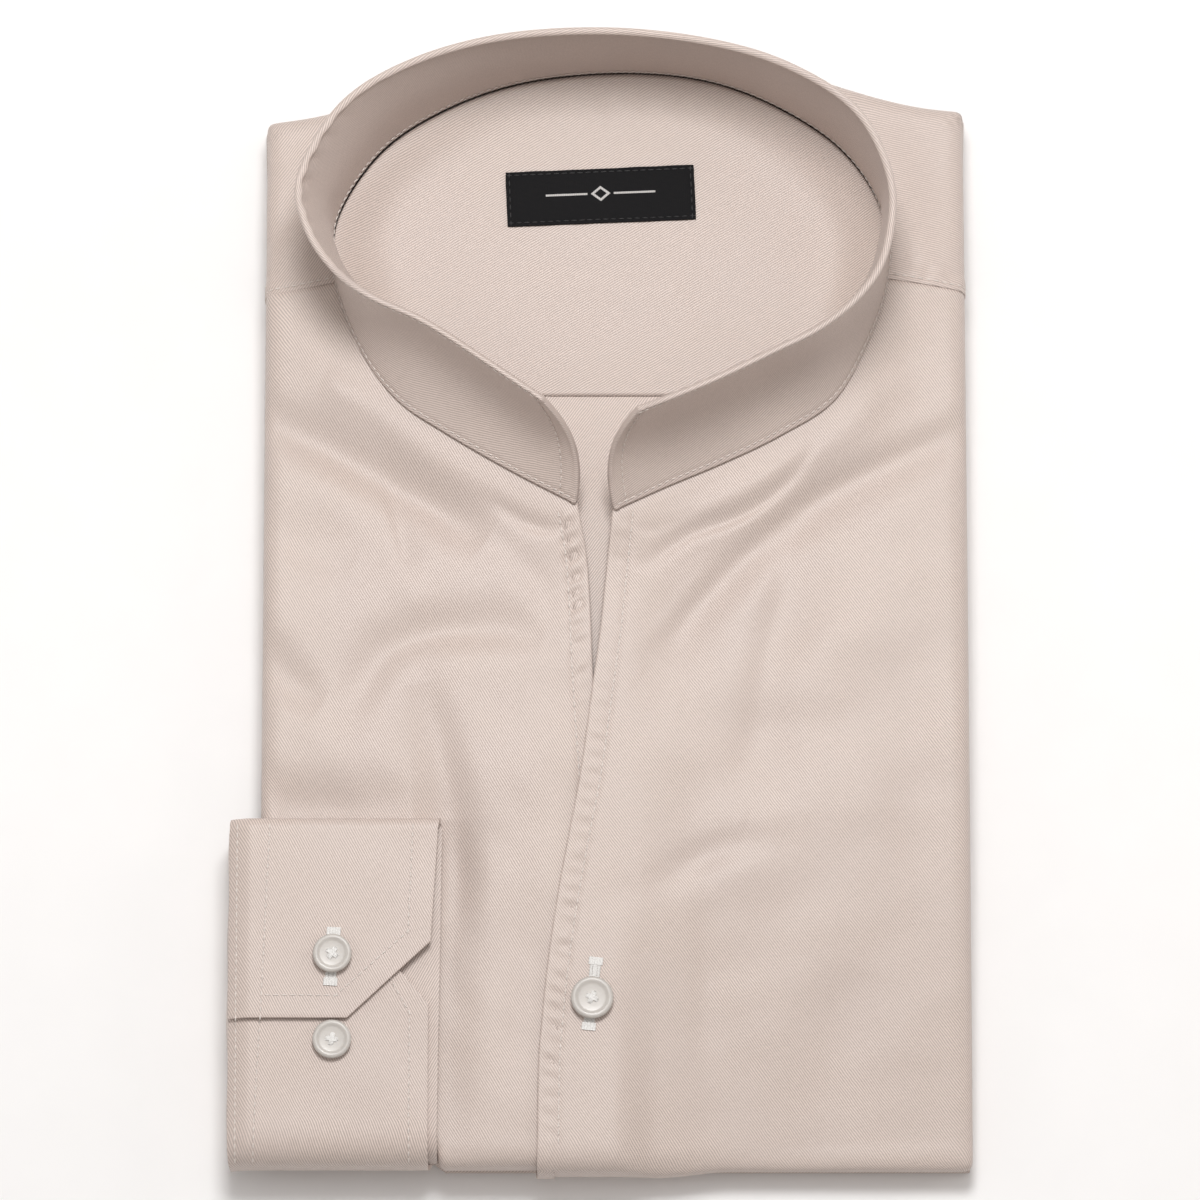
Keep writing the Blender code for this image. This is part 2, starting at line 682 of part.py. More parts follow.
def make_buttons():
    front = front_point(*FRONT_BUTTON, RIGHT_FOLDS, over_left(*FRONT_BUTTON))
    make_button("button_front", front + Vector((0.0, 0.0, SEAM_GAP)), FRONT_BUTTON_SIZE)
    _, under, upper = CUFF_LEVELS
    for name, (x, y), level in (
        ("button_cuff_upper", CUFF_BUTTON_UPPER, upper),
        ("button_cuff_lower", CUFF_BUTTON_LOWER, under),
    ):
        seat = cuff_surface(x, y, level + CUFF_WALL / 2 + SEAM_GAP)
        make_button(name, seat, CUFF_BUTTON_SIZE)


# Layers folded away

def core_top(x, y):
    across, along = HOLLOW_SIZE
    hollow = math.hypot((x - BACK_CENTRE) / across, max(0.0, y - HOLLOW_CENTRE_Y) / along)
    inside = smooth((1.0 + HOLLOW_RIM - hollow) / HOLLOW_RIM)
    inside *= smooth((y - HOLLOW_FROM) / HOLLOW_GROWTH)
    return blend(deck_top(y) - CORE_DEPTH, floor_height(y) - CLOTH - SEAM_GAP, inside)


def core_spread(share, cells, low, high, radius):
    """One direction of the core's grid: a rolled edge, the flat between and the other edge."""
    part, inner = pick(share, (CORE_TURNED, cells - 2 * CORE_TURNED, CORE_TURNED))
    over = CORE_ANGLE * radius
    if part == 0:
        return low - over * (1.0 - inner)
    if part == 1:
        return blend(low, high, inner)
    return high + over * inner


def core_flat(a, b):
    """A grid point of the core on the flat cloth."""
    side_x = BODY_LEFT if a < CORE_CUFF_SHARE else BODY_RIGHT
    bottom = roll_starts(side_x, 0.0)[2]
    v = core_spread(b, CORE_ROWS, bottom, CORE_LAST_ROW, roll_radius(0.0))
    row = min(TOP_ROW, max(0.0, v))
    left, right, _, _ = roll_starts(0.0, row)
    u = core_spread(a, CORE_COLUMNS, left, right, roll_radius(row))
    if v > CORE_TOP_ROWS:
        top = roll_starts(u, TOP_ROW)[3]
        share = (v - CORE_TOP_ROWS) / (CORE_LAST_ROW - CORE_TOP_ROWS)
        v = blend(CORE_TOP_ROWS, top, share) if share <= 1.0 else top + v - CORE_LAST_ROW
    return u, v


def core_point(u, v):
    inset = CLOTH + CORE_GAP + CORE_GAP_TOP * smooth((v - CORE_GAP_FROM) / CORE_GAP_GROWTH)
    point = rolled(u, v, -inset)
    return Vector((point.x, point.y, min(point.z, core_top(point.x, point.y))))


def layer_reach(start, direction, reach):
    """The left side gives way to the sleeve, and the corner beside it to the cuff."""
    at_sleeve = direction.x < -0.5 and start.y < SLEEVE_NOTCH
    at_corner = direction.x < -0.1 and direction.y < -0.1 and start.y < CORNER_NOTCH
    return 0.0 if at_sleeve or at_corner else reach


def make_core():
    form = bmesh.new()
    bmesh.ops.create_grid(form, x_segments=CORE_COLUMNS, y_segments=CORE_ROWS, size=0.5)
    starts = {}
    for vertex in form.verts:
        u, v = core_flat(vertex.co.x + 0.5, vertex.co.y + 0.5)
        vertex.co = core_point(u, v)
        if vertex.is_boundary:
            starts[vertex] = roll_parts(u, v)[:2]
    rim = [edge for edge in form.edges if edge.is_boundary]
    for reach, z in LAYERS:
        grown = bmesh.ops.extrude_edge_only(form, edges=rim)["geom"]
        fresh = {item for item in grown if isinstance(item, bmesh.types.BMVert)}
        following = {}
        for vertex in fresh:
            below = [edge.other_vert(vertex) for edge in vertex.link_edges]
            parent = next(other for other in below if other in starts)
            start, direction = starts[parent]
            out = layer_reach(start, direction, reach) * roll_radius(start.y)
            vertex.co = Vector((start.x, start.y, 0.0)) + direction * out
            vertex.co.z = z
            following[vertex] = (start, direction)
        starts = following
        rim = [edge for edge in form.edges if edge.is_boundary]
    bmesh.ops.contextual_create(form, geom=rim)
    bmesh.ops.recalc_face_normals(form, faces=form.faces)
    bmesh.ops.scale(form, vec=(MM, MM, MM), verts=form.verts)
    mesh = bpy.data.meshes.new("folded_layers")
    form.to_mesh(mesh)
    form.free()
    add_piece("folded_layers", mesh, TWILL)


for old in list(bpy.data.objects):
    bpy.data.objects.remove(old, do_unlink=True)

SHIRT = new_collection("folded_shirt")
CUTTERS = new_collection("cutters")
TWILL = material("beige_twill", (0.60, 0.50, 0.45), 0.62)
LABEL_CLOTH = material("black_woven_label", (0.02, 0.02, 0.022), 0.7)
HORN = material("pale_button", (0.72, 0.70, 0.68), 0.3)

make_fronts()
make_yoke()
make_neck_inside()
make_collar()
make_cuff()
make_sleeve()
make_buttons()
make_core()
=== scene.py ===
import math

import bmesh
import bpy
import numpy as np
from mathutils import Matrix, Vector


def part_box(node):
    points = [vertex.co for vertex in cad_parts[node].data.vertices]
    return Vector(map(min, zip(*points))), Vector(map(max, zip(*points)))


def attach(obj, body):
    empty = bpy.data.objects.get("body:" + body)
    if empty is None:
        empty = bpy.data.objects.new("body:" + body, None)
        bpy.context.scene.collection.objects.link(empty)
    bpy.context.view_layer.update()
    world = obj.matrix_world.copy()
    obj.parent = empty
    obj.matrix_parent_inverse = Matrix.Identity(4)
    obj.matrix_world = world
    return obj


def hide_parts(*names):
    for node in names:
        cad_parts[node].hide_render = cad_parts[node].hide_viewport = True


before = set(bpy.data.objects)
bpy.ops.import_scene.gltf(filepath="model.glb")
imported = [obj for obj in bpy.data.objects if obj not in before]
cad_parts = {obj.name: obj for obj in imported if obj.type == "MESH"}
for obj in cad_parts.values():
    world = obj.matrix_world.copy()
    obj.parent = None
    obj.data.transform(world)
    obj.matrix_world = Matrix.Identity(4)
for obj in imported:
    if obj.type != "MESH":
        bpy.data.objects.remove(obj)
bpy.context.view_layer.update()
print("frame loaded")

mm = 0.001  # the tables below are in millimetres

# Camera: nearly straight above, tipped towards the hem

viewSizes = {"distance": 2.0, "tilt": 12.0, "aim": (0.0, -0.001, 0.020), "frameWidth": 0.324}


def makeCamera():
    data = bpy.data.cameras.new("camera")
    data.sensor_fit = "HORIZONTAL"
    data.angle = 2 * math.atan(viewSizes["frameWidth"] / 2 / viewSizes["distance"])
    data.clip_start = 0.1
    camera = bpy.data.objects.new("camera", data)
    tilt = math.radians(viewSizes["tilt"])
    aimX, aimY, aimZ = viewSizes["aim"]
    camera.location = (aimX, aimY - viewSizes["distance"] * math.sin(tilt),
                       aimZ + viewSizes["distance"] * math.cos(tilt))
    camera.rotation_euler = (tilt, 0.0, 0.0)
    bpy.context.scene.collection.objects.link(camera)
    bpy.context.scene.camera = camera


makeCamera()

lightSizes = {
    # name: place, size, watts, colour
    "keyLight": ((0.01, 0.29, 1.0), 0.32, 6.2, (1.0, 0.995, 0.99)),
    "overheadSoftbox": ((0.0, 0.30, 2.0), 1.4, 6.0, (0.985, 0.99, 1.0)),
    "rightFill": ((1.5, 0.3, 0.9), 0.9, 2.4, (1.0, 0.95, 0.92)),
    "leftFill": ((-1.5, 0.0, 0.9), 0.9, 1.5, (1.0, 0.95, 0.92)),
}
worldLight = {"colour": (1.0, 0.94, 0.90, 1.0), "strength": 0.42}


def makeLights():
    for name, (place, size, watts, colour) in lightSizes.items():
        data = bpy.data.lights.new(name, "AREA")
        data.shape = "DISK"
        data.size = size
        data.energy = watts
        data.color = colour
        lamp = bpy.data.objects.new(name, data)
        lamp.location = place
        lamp.rotation_euler = (-lamp.location).to_track_quat("-Z", "Y").to_euler()
        bpy.context.scene.collection.objects.link(lamp)
    world = bpy.data.worlds.new("studio")
    world.use_nodes = True
    world.node_tree.nodes["Background"].inputs["Color"].default_value = worldLight["colour"]
    world.node_tree.nodes["Background"].inputs["Strength"].default_value = worldLight["strength"]
    bpy.context.scene.world = world


makeLights()
bpy.context.scene.view_settings.view_transform = "Standard"
print("camera and lights made")


# Shader board: nodes are made by one method, and numbers on them are joined in Python

class Wire:
    def __init__(self, board, socket):
        self.board = board
        self.socket = socket

    def maths(self, operation, *others):
        sockets = dict(enumerate((self, *others)))
        return self.board.node("ShaderNodeMath", {"operation": operation}, sockets)

    def waves(self, pitch):
        return (self * (2 * math.pi / pitch)).maths("SINE") * 0.5 + 0.5

    def __add__(self, other):
        return self.maths("ADD", other)

    def __sub__(self, other):
        return self.maths("SUBTRACT", other)

    def __rsub__(self, other):
        return self.board.node("ShaderNodeMath", {"operation": "SUBTRACT"}, {0: other, 1: self})

    def __mul__(self, other):
        return self.maths("MULTIPLY", other)


class Board:
    def __init__(self, name):
        self.material = bpy.data.materials.new(name)
        self.material.use_nodes = True
        self.tree = self.material.node_tree
        self.tree.nodes.clear()

    def node(self, kind, settings, sockets, out=0):
        made = self.tree.nodes.new(kind)
        made.location = (180 * (len(self.tree.nodes) % 12), -220 * (len(self.tree.nodes) // 12))
        for name, value in settings.items():
            setattr(made, name, value)
        for name, value in sockets.items():
            if isinstance(value, Wire):
                self.tree.links.new(value.socket, made.inputs[name])
            else:
                made.inputs[name].default_value = value
        return Wire(self, made.outputs[out]) if made.outputs else None

    def clothPlace(self):
        # the piece's flat cut, in millimetres
        return self.mapped(self.node("ShaderNodeUVMap", {"uv_map": "cloth"}, {}), (1000.0, 1000.0, 1000.0))

    def objectPlace(self):
        return self.node("ShaderNodeTexCoord", {}, {}, out=3)

    def mapped(self, vector, scale=(1.0, 1.0, 1.0), turn=0.0):
        return self.node("ShaderNodeMapping", {},
                         {"Vector": vector, "Scale": scale, "Rotation": (0.0, 0.0, turn)})

    def numbers(self, vector):
        split = self.node("ShaderNodeSeparateXYZ", {}, {"Vector": vector})
        return split, Wire(self, split.socket.node.outputs[1])

    def noise(self, vector, scale, detail=2.0):
        return self.node("ShaderNodeTexNoise", {}, {"Vector": vector, "Scale": scale, "Detail": detail})

    def blendColours(self, share, first, second):
        return self.node("ShaderNodeMix", {"data_type": "RGBA"}, {0: share, 6: first, 7: second}, out=2)

    def relief(self, height, distance):
        return self.node("ShaderNodeBump", {}, {"Height": height, "Strength": 1.0, "Distance": distance})

    def finish(self, sockets):
        shader = self.node("ShaderNodeBsdfPrincipled", {}, sockets)
        self.node("ShaderNodeOutputMaterial", {}, {"Surface": shader})
        return self.material


def shaded(colour, share):
    return tuple(part * share for part in colour[:3]) + (1.0,)


# Twill: fine diagonal wales on the piece's own cloth coordinates, which are its flat cut in metres

twillSizes = {
    "pitch": 0.62, "thread": 0.42,  # mm from wale to wale, and from step to step along a wale
    "wobble": 0.22, "patch": 0.035, "cloud": 0.16,  # noise scales, per mm
    "yarn": (3.0, 0.5, 1.0), "weft": (0.35, 2.6, 1.0),
    "light": (0.772, 0.662, 0.604), "dark": (0.384, 0.316, 0.284), "cool": (0.560, 0.485, 0.455),
    "relief": 0.000045, "roughness": 0.46,
}


def makeTwill(name, turn, shade):
    sizes = twillSizes
    board = Board(name)
    place = board.clothPlace()
    across, along = board.numbers(board.mapped(place, turn=math.radians(turn)))
    wobble = board.noise(place, sizes["wobble"]) - 0.5
    yarn = board.noise(board.mapped(place, sizes["yarn"]), 1.0, 1.0)
    weft = board.noise(board.mapped(place, sizes["weft"]), 1.0, 1.0)
    wale = (across + wobble * 0.5).waves(sizes["pitch"])
    step = (along + across * 0.5).waves(sizes["thread"])
    weave = wale * 0.80 + step * 0.10 + yarn * 0.25 + weft * 0.22 - 0.18
    patch = board.noise(place, sizes["patch"])
    cloud = board.noise(place, sizes["cloud"])
    # a shade above 1 paints light into the twill: a lighter copy of the same cloth
    light, dark, cool = (shaded(sizes[tone], shade) for tone in ("light", "dark", "cool"))
    cloth = board.blendColours(weave.maths("MINIMUM", 1.0), dark, light)
    cloth = board.blendColours((patch * 1.4 - 0.45 + (cloud - 0.5) * 0.5) * 0.45, cloth, cool)
    return board.finish({"Base Color": cloth, "Roughness": wale * -0.08 + sizes["roughness"] + 0.04,
                         "Specular IOR Level": 0.42, "Sheen Weight": 0.08, "Sheen Roughness": 0.4,
                         "Normal": board.relief(wale * 0.7 + yarn * 0.5 + weft * 0.3, sizes["relief"])})


threadSizes = {"fibre": 4500.0, "shade": 0.72, "relief": 0.00004}


def makeThread(name, colour):
    board = Board(name)
    fibres = board.noise(board.objectPlace(), threadSizes["fibre"], 1.0)
    mixed = board.blendColours(fibres * 1.2 - 0.1, shaded(colour, threadSizes["shade"]), colour)
    return board.finish({"Base Color": mixed, "Roughness": fibres * 0.2 + 0.45, "Sheen Weight": 0.1,
                         "Normal": board.relief(fibres, threadSizes["relief"])})


labelFinish = {
    "rib": 0.34, "thread": 0.5, "fluff": 1.8, "relief": 0.00006,
    "dark": (0.004, 0.004, 0.005, 1.0), "light": (0.017, 0.017, 0.018, 1.0), "mark": (0.62, 0.61, 0.60, 1.0),
    # a plain woven rule with a lozenge in its middle, mm from the label's centre
    "markUp": 0.6, "ruleHalf": 0.28, "rule": (3.6, 15.0), "lozenge": (1.7, 2.7), "lozengeSlope": 1.25,
}


def makeLabelCloth(name):
    sizes = labelFinish
    board = Board(name)
    place = board.clothPlace()
    across, up = board.numbers(place)
    ribs = up.waves(sizes["rib"])
    threads = across.waves(sizes["thread"])
    fluff = board.noise(place, sizes["fluff"])
    ground = board.blendColours(ribs * 0.35 + fluff * 0.45, sizes["dark"], sizes["light"])
    away = across.maths("ABSOLUTE")
    above = (up - sizes["markUp"]).maths("ABSOLUTE")
    rule = (sizes["ruleHalf"] - above).maths("GREATER_THAN", 0.0) * away.maths("LESS_THAN", sizes["rule"][1])
    rule = rule * away.maths("GREATER_THAN", sizes["rule"][0])
    reach = away + above * sizes["lozengeSlope"]
    lozenge = reach.maths("LESS_THAN", sizes["lozenge"][1]) * reach.maths("GREATER_THAN", sizes["lozenge"][0])
    mark = rule.maths("MAXIMUM", lozenge)
    cloth = board.blendColours(mark * (threads * 0.25 + 0.75), ground, sizes["mark"])
    relief = board.relief(ribs * 0.6 + threads * 0.3 + fluff * 0.4 + mark * 0.5, sizes["relief"])
    return board.finish({"Base Color": cloth, "Roughness": fluff * 0.2 + 0.6, "Specular IOR Level": 0.12,
                         "Normal": relief})


shellSizes = {"cloud": 260.0, "veins": (500.0, 1600.0, 500.0), "veinTurn": 0.6,
              "dark": (0.47, 0.44, 0.41, 1.0), "light": (0.60, 0.575, 0.54, 1.0)}


def makeButtonShell(name):
    sizes = shellSizes
    board = Board(name)
    place = board.objectPlace()
    cloud = board.noise(place, sizes["cloud"], 3.0)
    veins = board.noise(board.mapped(place, sizes["veins"], sizes["veinTurn"]), 1.0)
    shell = board.blendColours(cloud * 0.7 + veins * 0.5 - 0.1, sizes["dark"], sizes["light"])
    return board.finish({"Base Color": shell, "Roughness": veins * 0.12 + 0.28, "Coat Weight": 0.12,
                         "Coat Roughness": 0.15, "IOR": 1.5, "Subsurface Weight": 0.12,
                         "Subsurface Radius": (0.002, 0.0018, 0.0015)})


twillTurns = {
    # how far each cut piece turns the wales, in degrees, and its shade, a share of the twill's tones; the
    # back panel's 1.06 is painted light, a lighter copy of the twill that makes up for the shade in the neck
    # opening
    "frontLeftTwill": (-31.0, 1.0), "frontRightTwill": (-36.0, 1.0), "yokeLeftTwill": (35.0, 1.0),
    "yokeRightTwill": (-77.0, 1.0), "liningTwill": (59.0, 1.0), "backTwillPaintedLight": (36.0, 1.06),
    "cuffTwill": (29.0, 1.0), "collarTwill": (-72.0, 1.0), "sleeveTwill": (45.0, 1.0),
}
twill = {name: makeTwill(name, *values) for name, values in twillTurns.items()}
paleThread = makeThread("paleThread", (0.82, 0.75, 0.70, 1.0))
whiteThread = makeThread("whiteThread", (0.93, 0.92, 0.90, 1.0))
blackThread = makeThread("blackThread", (0.022, 0.022, 0.024, 1.0))
labelCloth = makeLabelCloth("labelCloth")
buttonShell = makeButtonShell("buttonShell")
print("materials made")


# Reading the tables

def ease(value):
    value = np.clip(value, 0.0, 1.0)
    return value * value * (3.0 - 2.0 * value)


def blend(start, end, share):
    return start + (end - start) * share


def bell(value, width):
    return np.exp(-((value / width) ** 2))


def unit(vectors):
    return vectors / np.linalg.norm(vectors, axis=-1, keepdims=True)


def lengthAlong(path):
    # distance along a path from its first point to each of the others
    return np.concatenate([[0], np.cumsum(np.linalg.norm(np.diff(path, axis=0), axis=1))])


def readTable(table, place):
    rows = np.asarray(table, float)
    place = np.asarray(place, float)
    last = len(rows) - 1
    index = np.clip(place.astype(int), 0, last - 1)
    share = (place - index)[..., None]
    before, here, after, beyond = (rows[np.clip(index + step, 0, last)] for step in (-1, 0, 1, 2))
    slopeIn = np.where((index > 0)[..., None], (after - before) / 2, after - here)
    slopeOut = np.where((index < last - 1)[..., None], (beyond - here) / 2, after - here)
    squared, cubed = share ** 2, share ** 3
    return ((2 * cubed - 3 * squared + 1) * here + (cubed - 2 * squared + share) * slopeIn
            + (3 * squared - 2 * cubed) * after + (cubed - squared) * slopeOut)


def smoothPath(table, steps):
    return readTable(table, np.linspace(0, len(table) - 1, steps))


def nearLine(line, x, y):
    # distance to a path, the share of the path where it is nearest, and the side it is seen from
    best = np.full(np.shape(x), 1e9)
    place = np.zeros(np.shape(x))
    side = np.zeros(np.shape(x))
    for index in range(len(line) - 1):
        (ax, ay), (bx, by) = line[index][:2], line[index + 1][:2]
        runX, runY = bx - ax, by - ay
        share = np.clip(((x - ax) * runX + (y - ay) * runY) / (runX ** 2 + runY ** 2), 0.0, 1.0)
        overX, overY = x - ax - share * runX, y - ay - share * runY
        distance = np.hypot(overX, overY)
        closer = distance < best
        best = np.where(closer, distance, best)
        place = np.where(closer, index + share, place)
        side = np.where(closer, np.sign(runX * overY - runY * overX), side)
    return best, place / (len(line) - 1), side


def creaseHeight(creases, x, y):
    total = np.zeros(np.shape(x))
    for path, width, height, lean in creases:
        distance, place, side = nearLine(smoothPath(path, 6 * len(path)), x, y)
        taper = np.sqrt(np.sin(math.pi * np.clip(place, 0.02, 0.98)))
        reach = width * (1.0 + lean * side)
        total = total + height * taper * bell(distance, reach)
    return total


def unevenness(x, y, size, seed):
    # soft seeded waves in all directions, about -1 to 1
    chance = np.random.default_rng(seed)
    ranges = ((0, math.pi), (0, 6.3), (0.6, 1.6))
    turns, starts, scales = (chance.uniform(low, high, 9) for low, high in ranges)
    total = np.zeros(np.shape(x))
    for turn, start, scale in zip(turns, starts, scales):
        along = x * math.cos(turn) + y * math.sin(turn)
        total = total + np.sin(along * 2 * math.pi * scale / size + start)
    return total / 4.0


# The folded body that the cloth lies on

body = {
    "left": -91.2, "right": 99.6, "bottom": -154.8,
    "deckTop": 20.5, "backDrop": 3.0, "dropFrom": 80.0, "dropFade": 60.0, "deckUnder": 5.5,
    "rollAngle": math.radians(150), "cornerPower": 7.0, "rollPower": 3.2,
    "topEdge": 134.2, "topSlope": 0.02, "topHump": 21.0, "humpCentre": 4.0, "humpWidth": 63.0,
    "humpPower": 2.6, "topRow": 150.0, "frontSide": 16.0, "seamGap": 0.1, "neckRise": 13.0,
    # the shoulder seams, left and right: y at the side, and the place on the collar where they start
    "shoulderSide": {-1: 84.6, 1: 86.0}, "shoulder": {-1: 5.0, 1: 15.0},
    "drawn": 1.3, "drawnEnds": 36.4, "drawnFade": 26.0,
    # reliefs end on the way round the side folds, and soft creases end before the collar
    "reliefEnds": 9.6, "reliefFade": 6.0, "calmFrom": 2.0, "calmFade": 10.0,
    "cuffRecess": 3.9, "recessFrom": -41.9, "recessFade": 2.0,
}

collarTable = (
    # x, y, z, leanX, leanY, rise: from the left end round the back to the right end
    (-6.5, 25.0, 23.5, -9.0, 22.4, 29.4),
    (-24.0, 34.2, 23.5, -6.0, 23.3, 29.4),
    (-42.2, 45.0, 23.4, -5.0, 23.9, 29.3),
    (-55.0, 54.2, 23.2, -7.1, 21.5, 30.4),
    (-65.0, 68.5, 22.6, -6.8, 13.8, 34.4),
    (-71.6, 87.0, 21.9, -7.4, 6.6, 36.3),
    (-72.5, 104.5, 20.8, -8.2, 3.0, 36.6),
    (-61.0, 124.0, 19.2, -8.8, 3.6, 36.5),
    (-43.8, 136.6, 18.2, -7.6, 3.2, 36.8),
    (-22.0, 145.0, 17.3, -4.8, 2.0, 37.4),
    (4.0, 148.1, 17.0, -1.5, 0.6, 37.9),
    (28.3, 146.0, 17.4, 1.6, -0.6, 38.0),
    (49.0, 138.0, 18.4, 2.6, 0.2, 38.0),
    (67.0, 125.0, 19.7, 2.4, 0.4, 38.0),
    (77.6, 107.5, 21.2, 0.4, -1.8, 38.0),
    (78.0, 88.0, 22.2, -1.4, -1.6, 38.0),
    (72.6, 70.5, 22.8, -2.6, 4.0, 37.6),
    (63.4, 54.0, 23.2, -4.0, 11.8, 35.8),
    (49.0, 44.2, 23.4, -2.9, 14.8, 34.9),
    (33.3, 36.4, 23.5, -1.9, 15.4, 34.8),
    (17.9, 29.8, 23.5, 0.8, 16.8, 34.0),
    (3.8, 23.3, 23.5, 6.4, 20.9, 31.1),
)
collarLast = len(collarTable) - 1.0
neckLine = smoothPath(collarTable, 170)[:, :3]

edgeTables = {
    # closing edge of the left front and of the right one: y, x
    -1: ((25.0, -6.5), (11.5, -4.1), (-0.4, -3.2), (-26.5, -1.9), (-70.0, 1.2), (-109.2, 4.5), (-156.7, 8.5)),
    1: ((23.3, 3.8), (2.3, 1.6), (-9.8, 0.4), (-26.8, -1.9), (-48.2, -4.8), (-65.0, -7.9), (-82.2, -11.0),
        (-100.6, -13.6), (-115.9, -15.1), (-128.3, -16.0), (-156.9, -16.3)),
}


def edgeX(side, y):
    line = smoothPath(edgeTables[side], 120)[::-1]
    return np.interp(y, line[:, 0], line[:, 1])


def neckPoint(place):
    return readTable(collarTable, place)[..., :3]


def neckOutward(place):
    place = np.asarray(place, float)
    along = neckPoint(np.minimum(collarLast, place + 0.05)) - neckPoint(np.maximum(0.0, place - 0.05))
    return unit(np.stack([-along[..., 1], along[..., 0]], -1))


def nearNeck(x, y):
    distance, share, _ = nearLine(neckLine, x, y)
    return distance, np.interp(share, np.linspace(0, 1, len(neckLine)), neckLine[:, 2])


def deckTop(y):
    return body["deckTop"] - body["backDrop"] * ease((y - body["dropFrom"]) / body["dropFade"])


def rollRadius(y):
    return (deckTop(y) - body["deckUnder"]) / 2


def rollStarts(x, y):
    left = body["left"] + rollRadius(y)
    right = body["right"] - rollRadius(y)
    recess = body["cuffRecess"] * ease((body["recessFrom"] - x) / body["recessFade"])
    bottom = body["bottom"] + rollRadius(0.0) + recess
    hump = np.exp(-((np.abs(x - body["humpCentre"]) / body["humpWidth"]) ** body["humpPower"]))
    top = body["topEdge"] + body["topSlope"] * x + body["topHump"] * hump - rollRadius(body["topRow"])
    return left, right, bottom, top


def rollParts(u, v, sides=True):
    left, right, bottom, top = rollStarts(u, v)
    x = np.clip(u, left, right) if sides else u + 0.0
    y = np.clip(v, bottom, top)
    overX, overY = u - x, v - y
    length = np.maximum(np.abs(overX), np.abs(overY))
    power = body["cornerPower"]
    reach = (np.abs(overX) ** power + np.abs(overY) ** power) ** (1.0 / power)
    safe = np.maximum(reach, 1e-9)
    return x, y, overX / safe, overY / safe, length


def rolled(u, v, out=0.0, sides=True):
    u, v = np.broadcast_arrays(np.asarray(u, float), np.asarray(v, float))
    x, y, dirX, dirY, length = rollParts(u, v, sides)
    top = deckTop(y)
    radius = (top - body["deckUnder"]) / 2
    angle = length / radius
    sine, cosine = np.sin(angle), np.cos(angle)
    power = body["rollPower"]
    far = (radius + out) / (np.abs(sine) ** power + np.abs(cosine) ** power) ** (1.0 / power)
    return np.stack([x + dirX * sine * far, y + dirY * sine * far, top - radius + cosine * far], -1)


def clothSurface(u, v, relief, calmed, lift):
    # outer face of the fronts and the yoke, risen to the collar
    # the shoulder seams keep their slope on the way over the side edges
    over = np.abs(u - np.clip(u, *rollStarts(u, v)[:2]))
    drawn = body["drawn"] * np.sin(np.minimum(over / rollRadius(v), math.pi / 2))
    v = v - drawn * ease((body["drawnEnds"] - np.abs(v - body["shoulderSide"][-1])) / body["drawnFade"])
    distance, seamHeight = nearNeck(u, v)
    flat = ease((body["reliefEnds"] - rollParts(u, v)[4]) / body["reliefFade"])
    rise = (seamHeight - rolled(u, v)[..., 2]) * bell(distance, body["neckRise"]) * flat
    calm = ease((distance - body["calmFrom"]) / body["calmFade"]) * flat
    return rolled(u, v, rise + calm * calmed + relief * flat + lift)


def shoulderSlope(side):
    seamX, seamY, _ = neckPoint(body["shoulder"][side])
    atSide = body["shoulderSide"][side]
    left, right, _, _ = rollStarts(0.0, atSide)
    return seamX, seamY, (seamY - atSide) / (seamX - (left if side < 0 else right))


def aboveShoulder(u, v):
    # distance past the shoulder seam, on the yoke's side of it
    flatU = np.clip(u, *rollStarts(0.0, body["shoulderSide"][-1])[:2])
    left, right = (v - seamY - slope * (flatU - seamX) for seamX, seamY, slope in map(shoulderSlope, (-1, 1)))
    return np.where(u < 0, left, right)


# Meshes

def gridFaces(rows, columns, first=0, flip=False, ring=False):
    index = np.arange(rows * columns).reshape(rows, columns) + first
    if ring:
        index = np.concatenate([index, index[:, :1]], axis=1)
    quads = np.stack([index[:-1, :-1], index[:-1, 1:], index[1:, 1:], index[1:, :-1]], -1)
    return quads.reshape(-1, 4)[:, ::-1] if flip else quads.reshape(-1, 4)


def clothMesh(name, points, quads, flat):
    # points in millimetres, and the same points on the flat cut
    mesh = bpy.data.meshes.new(name)
    mesh.from_pydata((points * mm).tolist(), [], quads.tolist())
    layer = mesh.uv_layers.new(name="cloth")
    corners = np.empty(len(mesh.loops), int)
    mesh.loops.foreach_get("vertex_index", corners)
    layer.data.foreach_set("uv", (flat[corners] * mm).ravel())
    mesh.shade_smooth()
    return mesh


def gridMesh(name, points, flat, flip=False, ring=False):
    quads = gridFaces(*points.shape[:2], flip=flip, ring=ring)
    return clothMesh(name, points.reshape(-1, 3), quads, flat.reshape(-1, 2))


def addPiece(name, mesh, finish):
    piece = bpy.data.objects.new(name, mesh)
    mesh.materials.clear()
    mesh.materials.append(finish)
    bpy.context.scene.collection.objects.link(piece)
    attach(piece, "root")
    return piece


def addWall(piece, thickness, rounding):
    wall = piece.modifiers.new("wall", "SOLIDIFY")
    wall.thickness = thickness * mm
    wall.offset = -1.0
    if rounding:
        edge = piece.modifiers.new("edge", "BEVEL")
        edge.width = rounding * mm
        edge.segments = 2
        edge.limit_method = "ANGLE"
        edge.angle_limit = math.radians(60)
        edge.use_clamp_overlap = True


def addCloth(name, node, finish, points, flat, wall=0.0, rounding=0.0, slot="twill", **turns):
    piece = addPiece(name, gridMesh(name, points, flat, **turns), finish)
    if wall:
        addWall(piece, wall, rounding)
    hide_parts(node)
    return piece


def reworked(mesh, change):
    form = bmesh.new()
    form.from_mesh(mesh)
    change(form)
    form.to_mesh(mesh)
    form.free()


def spacing(*parts):
    # shares from 0 to 1 along one direction of a grid, for parts given as (length, step)
    places = [0.0]
    for length, step in parts:
        cells = max(1, round(length / step))
        places += list(places[-1] + np.arange(1, cells + 1) * length / cells)
    return np.array(places)


# Stitches: a capsule of thread at even steps along each path

stitchSizes = {"Pitch": 0.0021, "Length": 0.0016, "Width": 0.00044, "Height": 0.00034, "Wander": 0.06}


